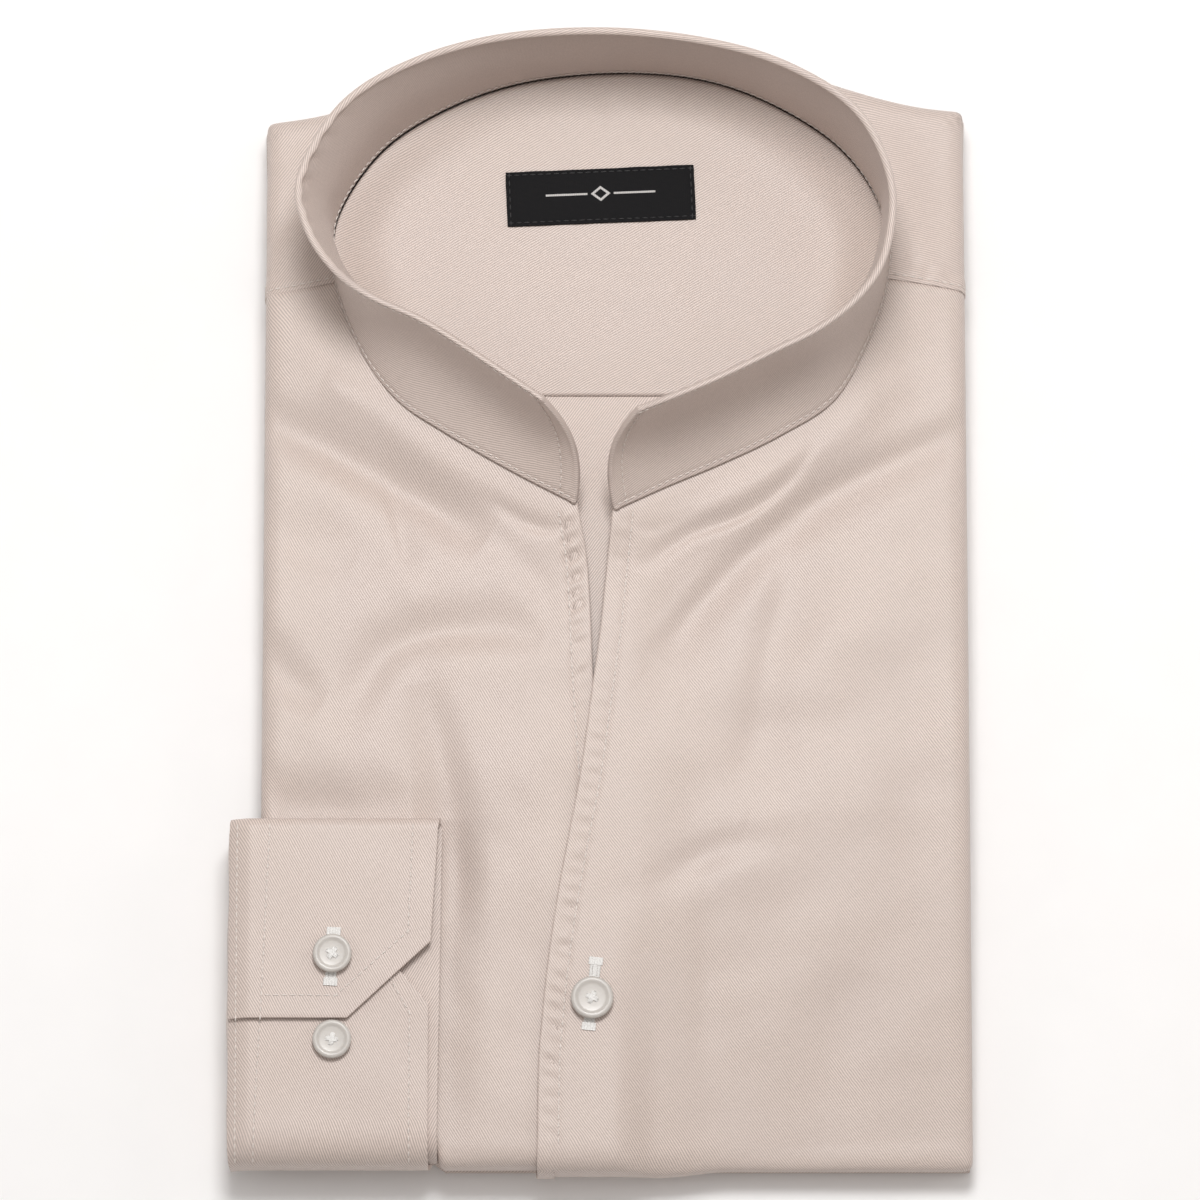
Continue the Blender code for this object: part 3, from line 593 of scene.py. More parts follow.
def makeStitchTree():
    tree = bpy.data.node_groups.new("stitchRow", "GeometryNodeTree")
    face = tree.interface
    face.new_socket("Geometry", in_out="INPUT", socket_type="NodeSocketGeometry")
    for name, value in stitchSizes.items():
        face.new_socket(name, in_out="INPUT", socket_type="NodeSocketFloat").default_value = value
    face.new_socket("Seed", in_out="INPUT", socket_type="NodeSocketInt").default_value = 1
    face.new_socket("Thread", in_out="INPUT", socket_type="NodeSocketMaterial")
    face.new_socket("Geometry", in_out="OUTPUT", socket_type="NodeSocketGeometry")

    def add(kind, sockets, **settings):
        made = tree.nodes.new(kind)
        for name, value in settings.items():
            setattr(made, name, value)
        for name, value in sockets.items():
            if isinstance(value, bpy.types.NodeSocket):
                tree.links.new(value, made.inputs[name])
            else:
                made.inputs[name].default_value = value
        return made.outputs

    given = add("NodeGroupInput", {})
    curve = add("GeometryNodeMeshToCurve", {"Mesh": given["Geometry"]})[0]
    points = add("GeometryNodeCurveToPoints", {"Curve": curve, "Length": given["Pitch"]}, mode="LENGTH")
    bead = add("GeometryNodeMeshUVSphere", {"Segments": 6, "Rings": 5, "Radius": 0.5})[0]
    smooth = add("GeometryNodeSetShadeSmooth", {"Geometry": bead})[0]
    wander = add("FunctionNodeRandomValue",
                 {"Min": (-1.0, -1.0, -1.0), "Max": (1.0, 1.0, 1.0), "Seed": given["Seed"]},
                 data_type="FLOAT_VECTOR")[0]
    tilt = add("ShaderNodeVectorMath", {0: wander, "Scale": given["Wander"]}, operation="SCALE")[0]
    turn = add("FunctionNodeEulerToRotation", {"Euler": tilt})[0]
    turned = add("FunctionNodeRotateRotation", {"Rotation": points["Rotation"], "Rotate By": turn},
                 rotation_space="LOCAL")[0]
    scale = add("ShaderNodeCombineXYZ", {"X": given["Width"], "Y": given["Height"], "Z": given["Length"]})[0]
    placed = add("GeometryNodeInstanceOnPoints",
                 {"Points": points["Points"], "Instance": smooth, "Rotation": turned, "Scale": scale})[0]
    real = add("GeometryNodeRealizeInstances", {"Geometry": placed})[0]
    sewn = add("GeometryNodeSetMaterial", {"Geometry": real, "Material": given["Thread"]})[0]
    add("NodeGroupOutput", {"Geometry": sewn})
    return tree


stitchTree = makeStitchTree()


def sew(name, paths, thread, seed, slot="twill", **sizes):
    # paths are lists of points in millimetres; the result is one plain mesh of stitches
    points, edges = [], []
    for path in paths:
        edges += [(len(points) + step, len(points) + step + 1) for step in range(len(path) - 1)]
        points += (np.asarray(path) * mm).tolist()
    guide = bpy.data.meshes.new(name + "Guide")
    guide.from_pydata(points, edges, [])
    holder = bpy.data.objects.new(name + "Guide", guide)
    bpy.context.scene.collection.objects.link(holder)
    row = holder.modifiers.new("stitches", "NODES")
    row.node_group = stitchTree
    given = {item.name: item.identifier for item in stitchTree.interface.items_tree
             if item.item_type == "SOCKET" and item.in_out == "INPUT"}
    for key, value in {"Seed": seed, "Thread": thread, **sizes}.items():
        row[given[key]] = value
    bpy.context.view_layer.update()
    evaluated = holder.evaluated_get(bpy.context.evaluated_depsgraph_get())
    mesh = bpy.data.meshes.new_from_object(evaluated)
    mesh.name = name
    holder.modifiers.remove(row)
    bpy.data.objects.remove(holder)
    bpy.data.meshes.remove(guide)
    piece = addPiece(name, mesh, thread)
    print("sewn", name, len(mesh.polygons), "faces")
    return piece


# Fronts

frontSizes = {
    "cloth": 0.42, "hemDepth": 0.95, "hemBack": 4.2, "stitchInset": 5.2, "tuck": 1.6, "tuckDrop": 0.75,
    "step": 0.9, "rollStep": 0.4,
    "lapLift": 1.65, "lapReach": 27.0, "lapFade": 20.0, "lapFrom": 3.0, "lapGrowth": 27.0,
    # the cloth sinks towards the hem fold, from a line that rises to the right: x, y
    "sink": 7.4, "sinkOver": 90.0, "sinkFrom": 3.5, "sinkFade": 12.0,
    "sinkLine": ((-5.0, -82.0), (10.0, -76.0), (28.0, -65.0), (50.0, -59.0), (90.0, -57.0)),
    "rows": 62, "columns": 76, "edgeColumns": 27, "edgeFrom": 0.86,
    "stitchRow": (22.0, -148.0), "raised": 0.14, "groove": (0.9, 0.26), "grooveFrom": 24.0, "grooveFade": 3.0,
    # height and size of the soft waves
    "broadWaves": (0.48, 46.0), "fineWaves": (0.09, 17.0),
}
puckerSizes = {
    # y of the first and last dent and mm from one to the next; the pairs are ranges that each dent's
    # own values are drawn from
    "first": 20.0, "last": -150.0, "pitch": 4.6, "uneven": (-0.9, 0.9), "depth": (0.45, 1.0),
    "middle": (2.7, 3.7), "slope": (0.25, 0.6), "high": (1.1, 1.6), "wide": 1.9,
    "bumpAbove": 2.1, "bumpShare": 0.35,
}
leftCreases = (
    # path, half width, height, lean to one side
    (((-96.0, 51.5), (-73.2, 40.5), (-43.3, 24.0), (-30.0, 15.0)), 6.5, -3.5, 0.1),
    (((-76.0, 60.0), (-60.0, 53.0), (-40.0, 40.0)), 6.0, 1.8, 0.0),
    (((-68.0, -34.0), (-59.0, -17.0), (-47.0, -10.5), (-29.0, -9.0), (-14.0, -12.0)), 6.0, -2.3, 0.15),
    (((-48.0, -22.0), (-42.0, -47.8), (-38.5, -70.0), (-38.0, -90.0)), 6.0, -2.4, -0.1),
    (((-43.0, -60.0), (-41.5, -80.0), (-41.0, -120.0), (-41.0, -160.0)), 8.0, -2.6, 0.0),
    (((-94.0, -57.5), (-74.0, -58.5), (-50.0, -58.5)), 8.5, -3.0, 0.0),
    (((-58.0, 32.0), (-54.0, 18.0), (-52.0, 8.0)), 3.0, -0.8, 0.3),
    (((-30.0, 27.0), (-19.0, 20.0), (-9.5, 18.5)), 2.4, -1.3, 0.0),
    (((-24.0, 12.0), (-17.0, 4.0), (-12.0, -8.0)), 4.0, -0.8, 0.2),
    (((-92.0, -12.0), (-84.0, -23.0), (-74.0, -29.0)), 6.0, -1.8, 0.0),
    (((-24.0, -60.0), (-20.0, -90.0), (-22.0, -130.0)), 7.0, -0.7, 0.0),
    (((-94.0, 24.0), (-80.0, 14.0), (-66.0, 8.0)), 7.0, -0.9, 0.2),
)
rightCreases = (
    (((104.0, 49.5), (62.3, 28.6), (43.3, 14.7), (29.7, 1.4), (14.0, -18.0)), 6.0, -3.6, 0.25),
    (((78.0, 57.0), (54.2, 40.0), (32.5, 26.5), (14.0, 16.0)), 6.0, 1.8, 0.0),
    (((56.0, 24.0), (47.0, -12.0), (40.3, -52.0)), 8.0, -1.7, 0.3),
    (((-1.0, -85.0), (10.0, -80.0), (30.0, -70.0), (48.0, -66.0)), 5.0, -1.6, 0.0),
    (((13.0, 9.0), (23.8, 17.0), (39.3, 23.0), (51.0, 32.0), (59.0, 44.0)), 2.6, -1.6, 0.2),
    (((9.0, 19.0), (16.0, 18.5), (27.0, 24.5)), 2.0, -0.5, 0.2),
    (((10.0, -10.0), (16.0, -4.0), (24.0, 6.0), (34.0, 14.0)), 3.6, -0.7, 0.3),
    (((9.5, -96.0), (13.0, -98.0)), 2.4, -1.1, 0.0),
    (((12.0, -127.0), (16.0, -130.0)), 2.4, -1.0, 0.0),
    (((27.5, -82.0), (28.5, -104.0), (27.0, -124.0)), 4.0, -0.8, 0.2),
    (((70.0, -100.0), (62.0, -125.0), (60.0, -160.0)), 9.0, -1.4, 0.1),
    (((88.0, -14.0), (84.0, -50.0), (88.0, -90.0)), 9.0, -1.1, 0.0),
    (((20.0, -30.0), (40.0, -36.0), (70.0, -34.0)), 8.0, -0.8, 0.0),
)

fronts = {
    # puckers: how deep the dents are from the collar down to the hem fold: y, mm
    -1: {"name": "frontLeft", "node": "front_left", "finish": twill["frontLeftTwill"],
         "flat": (0.125, 0.275), "area": 0.030, "collarEnd": 0.0, "creases": leftCreases, "seed": 11,
         "puckers": ((24.0, 0.3), (20.0, 1.5), (0.0, 1.2), (-10.0, 0.6), (-30.0, 0.3), (-150.0, 0.2))},
    1: {"name": "frontRight", "node": "front_right", "finish": twill["frontRightTwill"],
        "flat": (0.150, 0.275), "area": 0.035, "collarEnd": collarLast, "creases": rightCreases, "seed": 23,
        "puckers": ((24.0, 0.1), (18.0, 0.3), (0.0, 0.2), (-28.0, 0.25), (-40.0, 0.45), (-72.0, 0.55),
                    (-95.0, 0.8), (-126.0, 0.75), (-140.0, 0.4), (-152.0, 0.15))},
}


def puckerHeight(side, across, y):
    # small dents that the row of stitches pulls into the hem, each with a low bump above it
    sizes, seed = puckerSizes, fronts[side]["seed"]
    places = np.arange(sizes["first"], sizes["last"], -sizes["pitch"])
    places = places + np.random.default_rng(seed).uniform(*sizes["uneven"], len(places))
    depths = np.array(fronts[side]["puckers"])[::-1]
    chance = np.random.default_rng(seed)
    total = np.zeros(np.shape(y))
    for place in places:
        depth = chance.uniform(*sizes["depth"]) * float(np.interp(place, depths[:, 0], depths[:, 1]))
        middle, slope, high = (chance.uniform(*sizes[key]) for key in ("middle", "slope", "high"))
        along = y - place + slope * (across - middle)
        dent, bump = (bell(across - middle, sizes["wide"]) * bell(along - start, high)
                      for start in (0.0, sizes["bumpAbove"]))
        total = total + depth * (sizes["bumpShare"] * bump - dent)
    return total


def seamValley(across, width, depth):
    return -depth * bell(across, width)


def frontRelief(side, x, y):
    sizes, seed = frontSizes, fronts[side]["seed"]
    across = (x - edgeX(side, y)) * side
    stitched = seamValley(across - sizes["stitchInset"], *sizes["groove"])
    stitched = stitched * ease((sizes["grooveFrom"] - y) / sizes["grooveFade"])
    (broadHigh, broadSize), (fineHigh, fineSize) = sizes["broadWaves"], sizes["fineWaves"]
    waves = broadHigh * unevenness(x, y, broadSize, seed) + fineHigh * unevenness(x, y, fineSize, seed + 1)
    return puckerHeight(side, across, y) + stitched, creaseHeight(fronts[side]["creases"], x, y) + waves


def lapLift(x, y):
    sizes = frontSizes
    belowSlit = ease((sizes["lapFrom"] - y) / sizes["lapGrowth"])
    return sizes["lapLift"] * belowSlit * ease((edgeX(-1, y) + sizes["lapReach"] - x) / sizes["lapFade"])


def frontFace(side, u, v):
    sizes = frontSizes
    fine, broad = frontRelief(side, u, v)
    lift = lapLift(u, v) if side > 0 else np.zeros(np.shape(u))
    tucked = sizes["tuckDrop"] * ease((aboveShoulder(u, v) + 0.3) / 1.2)
    points = clothSurface(u, v, fine, broad * (1.0 - 0.8 * lift / sizes["lapLift"]), lift - tucked)
    below = np.clip((np.interp(u, *np.array(sizes["sinkLine"]).T) - v) / sizes["sinkOver"], 0.0, 1.0)
    sunk = sizes["sink"] * below ** 1.15 * ease((u - sizes["sinkFrom"]) / sizes["sinkFade"])
    share = (points[..., 2] - body["deckUnder"]) / (body["deckTop"] - body["deckUnder"])
    points[..., 2] -= sunk * np.clip(share, 0.0, 1.0)
    return points


def frontFlat(side):
    # the cut of a front, from the bottom fold to the shoulder seam
    # each row is the x and y of its inner end, and the y of its end at the side
    sizes, gap = frontSizes, body["seamGap"] / 2
    collarEnd, atSide = fronts[side]["collarEnd"], body["shoulderSide"][side]
    over = body["rollAngle"] * rollRadius(0.0)
    endY = neckPoint(collarEnd)[1]
    atBottom = float(edgeX(side, body["bottom"]))
    bottom = float(rollStarts(atBottom, 0.0)[2])
    rows = []
    for share in np.linspace(0, 1, round(over / sizes["step"]))[:-1]:
        y = bottom - (1 - share) * over
        rows.append((atBottom, y, y))
    for share in np.linspace(0, 1, round((endY - bottom) / sizes["step"])):
        y = blend(bottom, endY, share)
        rows.append((float(edgeX(side, y)), y, blend(bottom, body["frontSide"], share)))
    for share in np.linspace(0, 1, sizes["rows"])[1:]:
        place = blend(collarEnd, body["shoulder"][side], share)
        seamX, seamY = neckPoint(place)[:2] + neckOutward(place) * gap - (0.0, gap * share)
        rows.append((seamX, seamY, blend(body["frontSide"], atSide, share) - gap * share))
    for share in (0.25, 0.5, 0.75, 1.0):  # tucked under the yoke
        seamX, seamY, sideY = rows[-1]
        rows.append((seamX, seamY + sizes["tuck"] / 4, sideY + sizes["tuck"] / 4))
    innerX, innerY, sideY = np.hsplit(np.array(rows), 3)
    left, right, _, _ = rollStarts(0.0, sideY)
    start = left if side < 0 else right
    around = np.linspace(0, 1, round(over / sizes["rollStep"]))[:-1][None, :]
    rollU = start + side * (1 - around) * body["rollAngle"] * rollRadius(sideY)
    fromSide = np.linspace(0, sizes["edgeFrom"], sizes["columns"])
    toEdge = np.linspace(sizes["edgeFrom"], 1.0, sizes["edgeColumns"])[1:]
    flatRun = np.concatenate([fromSide, toEdge])[None, :]
    u = np.concatenate([rollU, blend(start, innerX, flatRun)], 1)
    v = np.concatenate([sideY + rollU * 0, blend(sideY, innerY, flatRun)], 1)
    return u, v + (rollStarts(u, v)[2] - bottom) * ease(1.0 - (v - bottom) / 40.0)


def turnedEdge(points, flat):
    # the last column goes on round the folded edge and back under as its hem
    depth, back = frontSizes["hemDepth"], frontSizes["hemBack"]
    edge, before = points[:, -1], points[:, -3]
    outward = unit((edge - before) * (1.0, 1.0, 0.0))
    flatOut = unit(flat[:, -1] - flat[:, -3])
    radius = depth / 2
    extra, flatExtra = [], []
    for turn in np.radians((36, 72, 108, 144, 180)):
        extra.append(edge + outward * radius * math.sin(turn) - (0, 0, radius * (1 - math.cos(turn))))
        flatExtra.append(flat[:, -1] + flatOut * radius * turn)
    for share in (0.33, 0.66, 1.0):
        extra.append(edge - outward * back * share - (0, 0, depth))
        flatExtra.append(flat[:, -1] + flatOut * (radius * math.pi + back * share))
    return np.hstack([points, np.stack(extra, 1)]), np.hstack([flat, np.stack(flatExtra, 1)])


def makeFront(side):
    sizes, front = frontSizes, fronts[side]
    u, v = frontFlat(side)
    points, flat = turnedEdge(frontFace(side, u, v), np.stack([u, v], -1))
    piece = addCloth(front["name"], front["node"], front["finish"], points, flat, sizes["cloth"],
                     flip=side > 0)
    y = np.linspace(*sizes["stitchRow"], 260)
    row = frontFace(side, edgeX(side, y) + side * sizes["stitchInset"], y) + (0.0, 0.0, sizes["raised"])
    stitches = sew(front["name"] + "Stitches", [row], paleThread, 3 + side)


makeFront(-1)
makeFront(1)
print("fronts made")


# Yoke: the shoulders and what shows of them behind the collar

yokeSizes = {"cloth": 0.42, "stitchAbove": 1.5, "ridge": 0.34, "ridgeWidth": 2.2, "ridgeFade": 4.0,
             "lip": 0.15, "lipWidth": 0.45, "groove": (0.6, 0.16), "split": 4.0, "sideShare": 0.3,
             "raised": 0.14}
yokeCreases = (
    (((-94.0, 96.0), (-84.0, 106.0), (-76.0, 112.0)), 4.0, -1.1, 0.2),
    (((83.0, 88.0), (84.5, 93.0), (83.5, 98.0)), 2.0, -0.8, 0.0),
    (((95.0, 87.0), (96.0, 92.0)), 2.0, -0.6, 0.0),
    (((88.0, 88.0), (90.0, 92.0)), 1.6, -0.5, 0.0),
)


def yokeFace(u, v):
    broad = creaseHeight(yokeCreases, u, v) + 0.22 * unevenness(u, v, 40.0, 31)
    above = aboveShoulder(u, v)
    ridge = yokeSizes["ridge"] * ease(1.0 - (above - yokeSizes["ridgeWidth"]) / yokeSizes["ridgeFade"])
    ridge = ridge - yokeSizes["lip"] * ease(1.0 - above / yokeSizes["lipWidth"])
    ridge = ridge + seamValley(above - yokeSizes["stitchAbove"], *yokeSizes["groove"])
    return clothSurface(u, v, 0.0, broad, ridge)


def yokeRim(share):
    # one column's end under the body: x, y, and the y that the column aims at on the flat cloth
    side = -1 if share < 0.5 else 1
    shoulder, sideShare = body["shoulderSide"][side], yokeSizes["sideShare"]
    left, right, _, _ = rollStarts(0.0, shoulder)
    over = body["rollAngle"] * float(rollRadius(body["topRow"]))
    x = blend(left - over, right + over, np.clip((share - sideShare) / (1 - 2 * sideShare), 0.0, 1.0))
    top = rollStarts(np.clip(x, left, right), body["topRow"])[3] + over
    fromSide = min(1.0, min(share, 1 - share) / sideShare)
    drop = side * shoulderSlope(side)[2] * over
    return x, blend(shoulder, top, fromSide), blend(shoulder + drop, top, fromSide)


def makeYoke():
    sizes = yokeSizes
    shares = spacing((2.0, 0.25), (6.0, 0.75), (300.0, 1.0), (6.0, 0.75), (2.0, 0.25))
    shares = shares / shares[-1]
    along = blend(body["shoulder"][-1], body["shoulder"][1], shares)
    seam = neckPoint(along)[:, :2] + neckOutward(along) * body["seamGap"] / 2
    rim = np.array([yokeRim(share) for share in shares])
    # where each column's straight line on the flat cloth starts to roll over the edge
    tries = np.linspace(0, 1, 241)[:, None]
    aim = rim[:, [0, 2]]
    tryX, tryY = blend(seam[:, 0], aim[:, 0], tries), blend(seam[:, 1], aim[:, 1], tries)
    left, right, _, top = rollStarts(tryX, tryY)
    start = seam + (aim - seam) * tries[np.argmax((tryX < left) | (tryX > right) | (tryY > top), axis=0)]
    flatShare = np.linspace(0, 1, 34)[:, None]
    rollShare = np.linspace(0, 1, 20)[1:, None]
    u, v = (np.concatenate([blend(seam[:, axis], start[:, axis], flatShare),
                            blend(start[:, axis], rim[:, axis], rollShare)]) for axis in (0, 1))
    piece = addCloth("yokeCloth", "yoke", twill["yokeLeftTwill"], yokeFace(u, v), np.stack([u, v], -1),
                     sizes["cloth"])
    # a split yoke, cut on the bias: its centre seam is behind the collar
    piece.data.materials.append(twill["yokeRightTwill"])
    middles = (u[:-1, :-1] + u[1:, 1:]) / 2
    piece.data.polygons.foreach_set("material_index", (middles > sizes["split"]).astype(int).ravel())
    rows = []
    for side, end in ((-1, body["left"] - 6.0), (1, body["right"] + 6.0)):
        seamX, seamY, slope = shoulderSlope(side)
        x = blend(seamX + side * 0.5, end, np.linspace(0, 1, 60))
        flatX = np.clip(x, *rollStarts(0.0, seamY)[:2])
        y = seamY + slope * (flatX - seamX) + sizes["stitchAbove"]
        rows.append(yokeFace(x, y) + (0.0, 0.0, sizes["raised"]))
    stitches = sew("yokeStitches", rows, paleThread, 9)


makeYoke()
print("yoke made")


# Inside of the neck

neckSizes = {
    "floorDeep": 14.6, "floorHigh": 17.2, "slopeFrom": 56.0, "slopeTo": -25.0,
    "seamY": 57.0, "seamLeft": -62.0, "seamRight": 67.0, "riseWidth": 9.0,
    "first": 4.7, "last": 15.3, "inset": 0.9,
    "sewnFrom": 66.0, "sewnFade": 18.0, "cloth": 0.42, "tuck": 2.0, "tuckDrop": 0.62,
    "backTop": 64.0, "backBottom": 34.0, "backCentre": 2.5, "backEnd": -36.0, "backDrop": 0.3,
}
liningCreases = (
    (((-30.0, 94.0), (0.0, 92.5), (32.0, 94.0)), 3.0, -0.22, 0.0),
    (((-32.0, 83.0), (4.0, 80.0), (38.0, 79.0)), 5.0, -0.3, 0.2),
    (((-1.0, 140.0), (0.0, 131.0)), 2.2, -0.35, 0.0),
    (((9.0, 141.0), (11.0, 133.0)), 2.0, -0.3, 0.0),
    (((20.0, 140.0), (19.0, 134.0)), 2.0, -0.3, 0.0),
    (((-52.0, 120.0), (-40.0, 112.0), (-34.0, 104.0)), 5.0, -0.25, 0.2),
)


def floorHeight(y):
    share = ease((neckSizes["slopeFrom"] - y) / (neckSizes["slopeFrom"] - neckSizes["slopeTo"]))
    return blend(neckSizes["floorDeep"], neckSizes["floorHigh"], share)


def liningHeight(x, y):
    distance, seamHeight = nearNeck(x, y)
    sewn = ease((y - neckSizes["sewnFrom"]) / neckSizes["sewnFade"])
    rise = bell(distance, neckSizes["riseWidth"]) * sewn
    soft = creaseHeight(liningCreases, x, y) + 0.12 * unevenness(x, y, 38.0, 51)
    return blend(floorHeight(y), seamHeight - 0.2, rise) + soft * ease(distance / 3.0)


def makeNeckPiece(name, node, finish, x, y, z):
    piece = addCloth(name, node, finish, np.stack([x, y, z], -1), np.stack([x, y], -1), neckSizes["cloth"])


def makeLining():
    sizes = neckSizes
    across, up = np.linspace(0, 1, 150)[None, :], np.linspace(0, 1, 90)[:, None]
    place = blend(sizes["first"], sizes["last"], across[0])
    seam = neckPoint(place)[:, :2] - neckOutward(place) * sizes["inset"]
    x = blend(blend(sizes["seamLeft"], sizes["seamRight"], across), seam[None, :, 0], up)
    y = blend(sizes["seamY"], seam[None, :, 1], up)
    makeNeckPiece("yokeLining", "yoke_lining", twill["liningTwill"], x, y, liningHeight(x, y))


def makeBack():
    sizes = neckSizes
    across, up = np.linspace(0, 1, 60)[None, :], np.linspace(0, 1, 60)[:, None]
    half = blend(sizes["backBottom"], sizes["backTop"], up)
    x = sizes["backCentre"] + blend(-half, half, across)
    y = blend(sizes["backEnd"], sizes["seamY"] + sizes["tuck"], up) + x * 0
    drop = blend(sizes["backDrop"], sizes["tuckDrop"], ease(y - sizes["seamY"] + 0.4))
    soft = 0.1 * unevenness(x, y, 30.0, 57) * ease((56.0 - y) / 8.0)
    # the back panel wears the lighter twill copy, painted light where the neck opening shades it
    makeNeckPiece("backPanel", "back_panel", twill["backTwillPaintedLight"], x, y, floorHeight(y) - drop + soft)


makeLining()
makeBack()
print("inside of the neck made")


# Label: a black woven strip, sewn down all round

labelSizes = {"centre": (0.2, 113.2), "size": (51.5, 15.3), "turn": math.radians(2.4), "wall": 0.5,
              "lift": 0.15, "rounding": 0.12, "stitchInset": 0.9, "pad": 0.10, "padFade": 2.0,
              "groove": (0.5, 0.16), "border": 0.12, "borderWidth": 0.6}


def labelPoint(across, up, out):
    turn, (centreX, centreY) = labelSizes["turn"], labelSizes["centre"]
    x = centreX + across * math.cos(turn) - up * math.sin(turn)
    y = centreY + across * math.sin(turn) + up * math.cos(turn)
    return np.stack([x, y, liningHeight(x, y) + labelSizes["wall"] + labelSizes["lift"] + out], -1)


def makeLabel():
    sizes = labelSizes
    inset, (width, height) = sizes["stitchInset"], sizes["size"]
    across, up = np.meshgrid(np.linspace(-width / 2, width / 2, 70), np.linspace(-height / 2, height / 2, 26))
    fromEdge = np.minimum(width / 2 - np.abs(across), height / 2 - np.abs(up))
    lift = sizes["pad"] * ease(fromEdge / sizes["padFade"]) + seamValley(fromEdge - inset, *sizes["groove"])
    border = bell(fromEdge, sizes["borderWidth"]) * (1 + unevenness(across, up, 9.0, 71))
    lift = lift + sizes["border"] * border
    piece = addCloth("wovenLabel", "label", labelCloth, labelPoint(across, up, lift),
                     np.stack([across, up], -1), sizes["wall"], sizes["rounding"], slot="label")
    halfX, halfY = width / 2 - inset, height / 2 - inset
    corners = ((-halfX, -halfY), (halfX, -halfY), (halfX, halfY), (-halfX, halfY), (-halfX, -halfY))
    share = np.linspace(0, 1, 40)
    rows = [labelPoint(blend(fromX, toX, share), blend(fromY, toY, share), 0.02)
            for (fromX, fromY), (toX, toY) in zip(corners, corners[1:])]
    stitches = sew("labelStitches", rows, blackThread, 5, "label", Width=0.00034)


makeLabel()
print("label made")


# Collar: two leaves sewn round their edge and turned, so its rim and its curved ends are rolled

collarSizes = {
    "length": 419.0, "wall": 2.1, "lift": 0.25, "endBow": 2.8, "bowReach": 0.8, "step": 1.3, "belly": 5.4,
    # soft waves: their height and size, and the mm that one place of the table counts for
    "waves": (0.35, 55.0), "placeLength": 19.0,
    # rows of stitches: down from the rim, in from the ends, up from the seam outside, and up from it inside
    "rimStitch": 1.7, "endStitch": 4.9, "baseStitch": 1.4, "innerStitch": 2.9, "rowsFrom": 0.12,
    # half width and depth of the groove under each row
    "baseGroove": (0.5, 0.24), "rimGroove": (0.45, 0.26), "endGroove": (0.6, 0.24),
    # the rim swells like a cord, and the seam is pressed thinner: shares of the wall, and mm
    "behindRim": 0.66, "cordAt": 0.9, "cordWidth": 0.85, "foot": 0.72, "footHeight": 0.7,
    # puckers below the rim inside, at one place of the table and fading to both sides of it
    "pucker": 0.55, "puckerAt": 2.6, "puckerWidth": 1.8, "puckerPlace": 6.0, "puckerReach": 1.3,
    "puckerWave": 1.15,
}
# how far the band curves in below its rim, from the left end round the back to the right end
bellyTable = ((0.0, 0.75), (1.0, 0.95), (4.0, 1.0), (6.0, 0.4), (9.0, 0.15), (14.0, 0.2), (16.0, 0.85),
              (18.0, 1.3), (20.0, 1.2), (21.0, 0.8))


def collarFrame(place):
    row = readTable(collarTable, place)
    lean, rise = row[..., 3:5], row[..., 5]
    outward = neckOutward(place)
    tilt = np.abs(np.sum(lean * outward, -1)) / np.hypot(rise, np.linalg.norm(lean, axis=-1))
    lift = collarSizes["lift"] + collarSizes["wall"] / 2 * tilt
    base = np.concatenate([row[..., :2], (row[..., 2] + lift)[..., None]], -1)
    up = np.concatenate([lean, (rise - lift)[..., None]], -1)
    height = np.linalg.norm(up, axis=-1, keepdims=True)
    up = up / height
    along = np.stack([outward[..., 1], -outward[..., 0], np.zeros(np.shape(rise))], -1)
    return base, up, along, unit(np.cross(up, along)), height[..., 0]


def collarSpot(place, up, out):
    # a point of the collar: mm up from its seam and mm out from its middle
    place, up, out = np.broadcast_arrays(place, up, out)
    base, upward, along, outward, height = collarFrame(place)
    share = np.clip(up / height, 0, 1)
    fromEnd = np.minimum(place, collarLast - place)
    bow = collarSizes["endBow"] * np.sin(math.pi * share) ** 0.8
    bow = bow * ease(1.0 - fromEnd / collarSizes["bowReach"])
    bow = np.where(place > collarLast / 2, bow, -bow)
    curved = np.sin(math.pi * share ** 0.95)
    high, size = collarSizes["waves"]
    soft = high * unevenness(place * collarSizes["placeLength"], up, size, 81) * curved
    soft = soft - collarSizes["belly"] * np.interp(place, *np.array(bellyTable).T) * curved
    return base + upward * up[..., None] + outward * (out + soft)[..., None] + along * bow[..., None]


def collarThickness(fromTop, fromBase, fromEnd, outerShare):
    sizes = collarSizes
    nearest = np.minimum(fromTop, fromEnd)
    rim = np.sqrt(1.0 - (1.0 - np.clip(nearest, 0, 1)) ** 2)
    cord = bell(nearest - sizes["cordAt"], sizes["cordWidth"])
    half = sizes["wall"] / 2 * blend(sizes["behindRim"], 1.0, cord)
    grooves = seamValley(fromBase - sizes["baseStitch"], *sizes["baseGroove"])
    grooves = grooves + seamValley(fromTop - sizes["rimStitch"], *sizes["rimGroove"]) * outerShare
    grooves = grooves + seamValley(fromEnd - sizes["endStitch"], *sizes["endGroove"]) * outerShare
    foot = blend(sizes["foot"], 1.0, ease(fromBase / sizes["footHeight"]))
    return (half * rim + grooves * ease(fromBase / 0.5)) * foot


def closeCollarEnds(form, columns, rows):
    # the loft is open at its two ends: each gets a strip of quads from the outer side to the inner one
    form.verts.ensure_lookup_table()
    for start, step in ((0, 1), ((columns - 1) * rows, -1)):
        for index in range(rows // 2 - 1):
            ring = (index, index + 1, rows - 2 - index, rows - 1 - index)
            form.faces.new([form.verts[start + number] for number in ring][::step])
    bmesh.ops.recalc_face_normals(form, faces=form.faces)


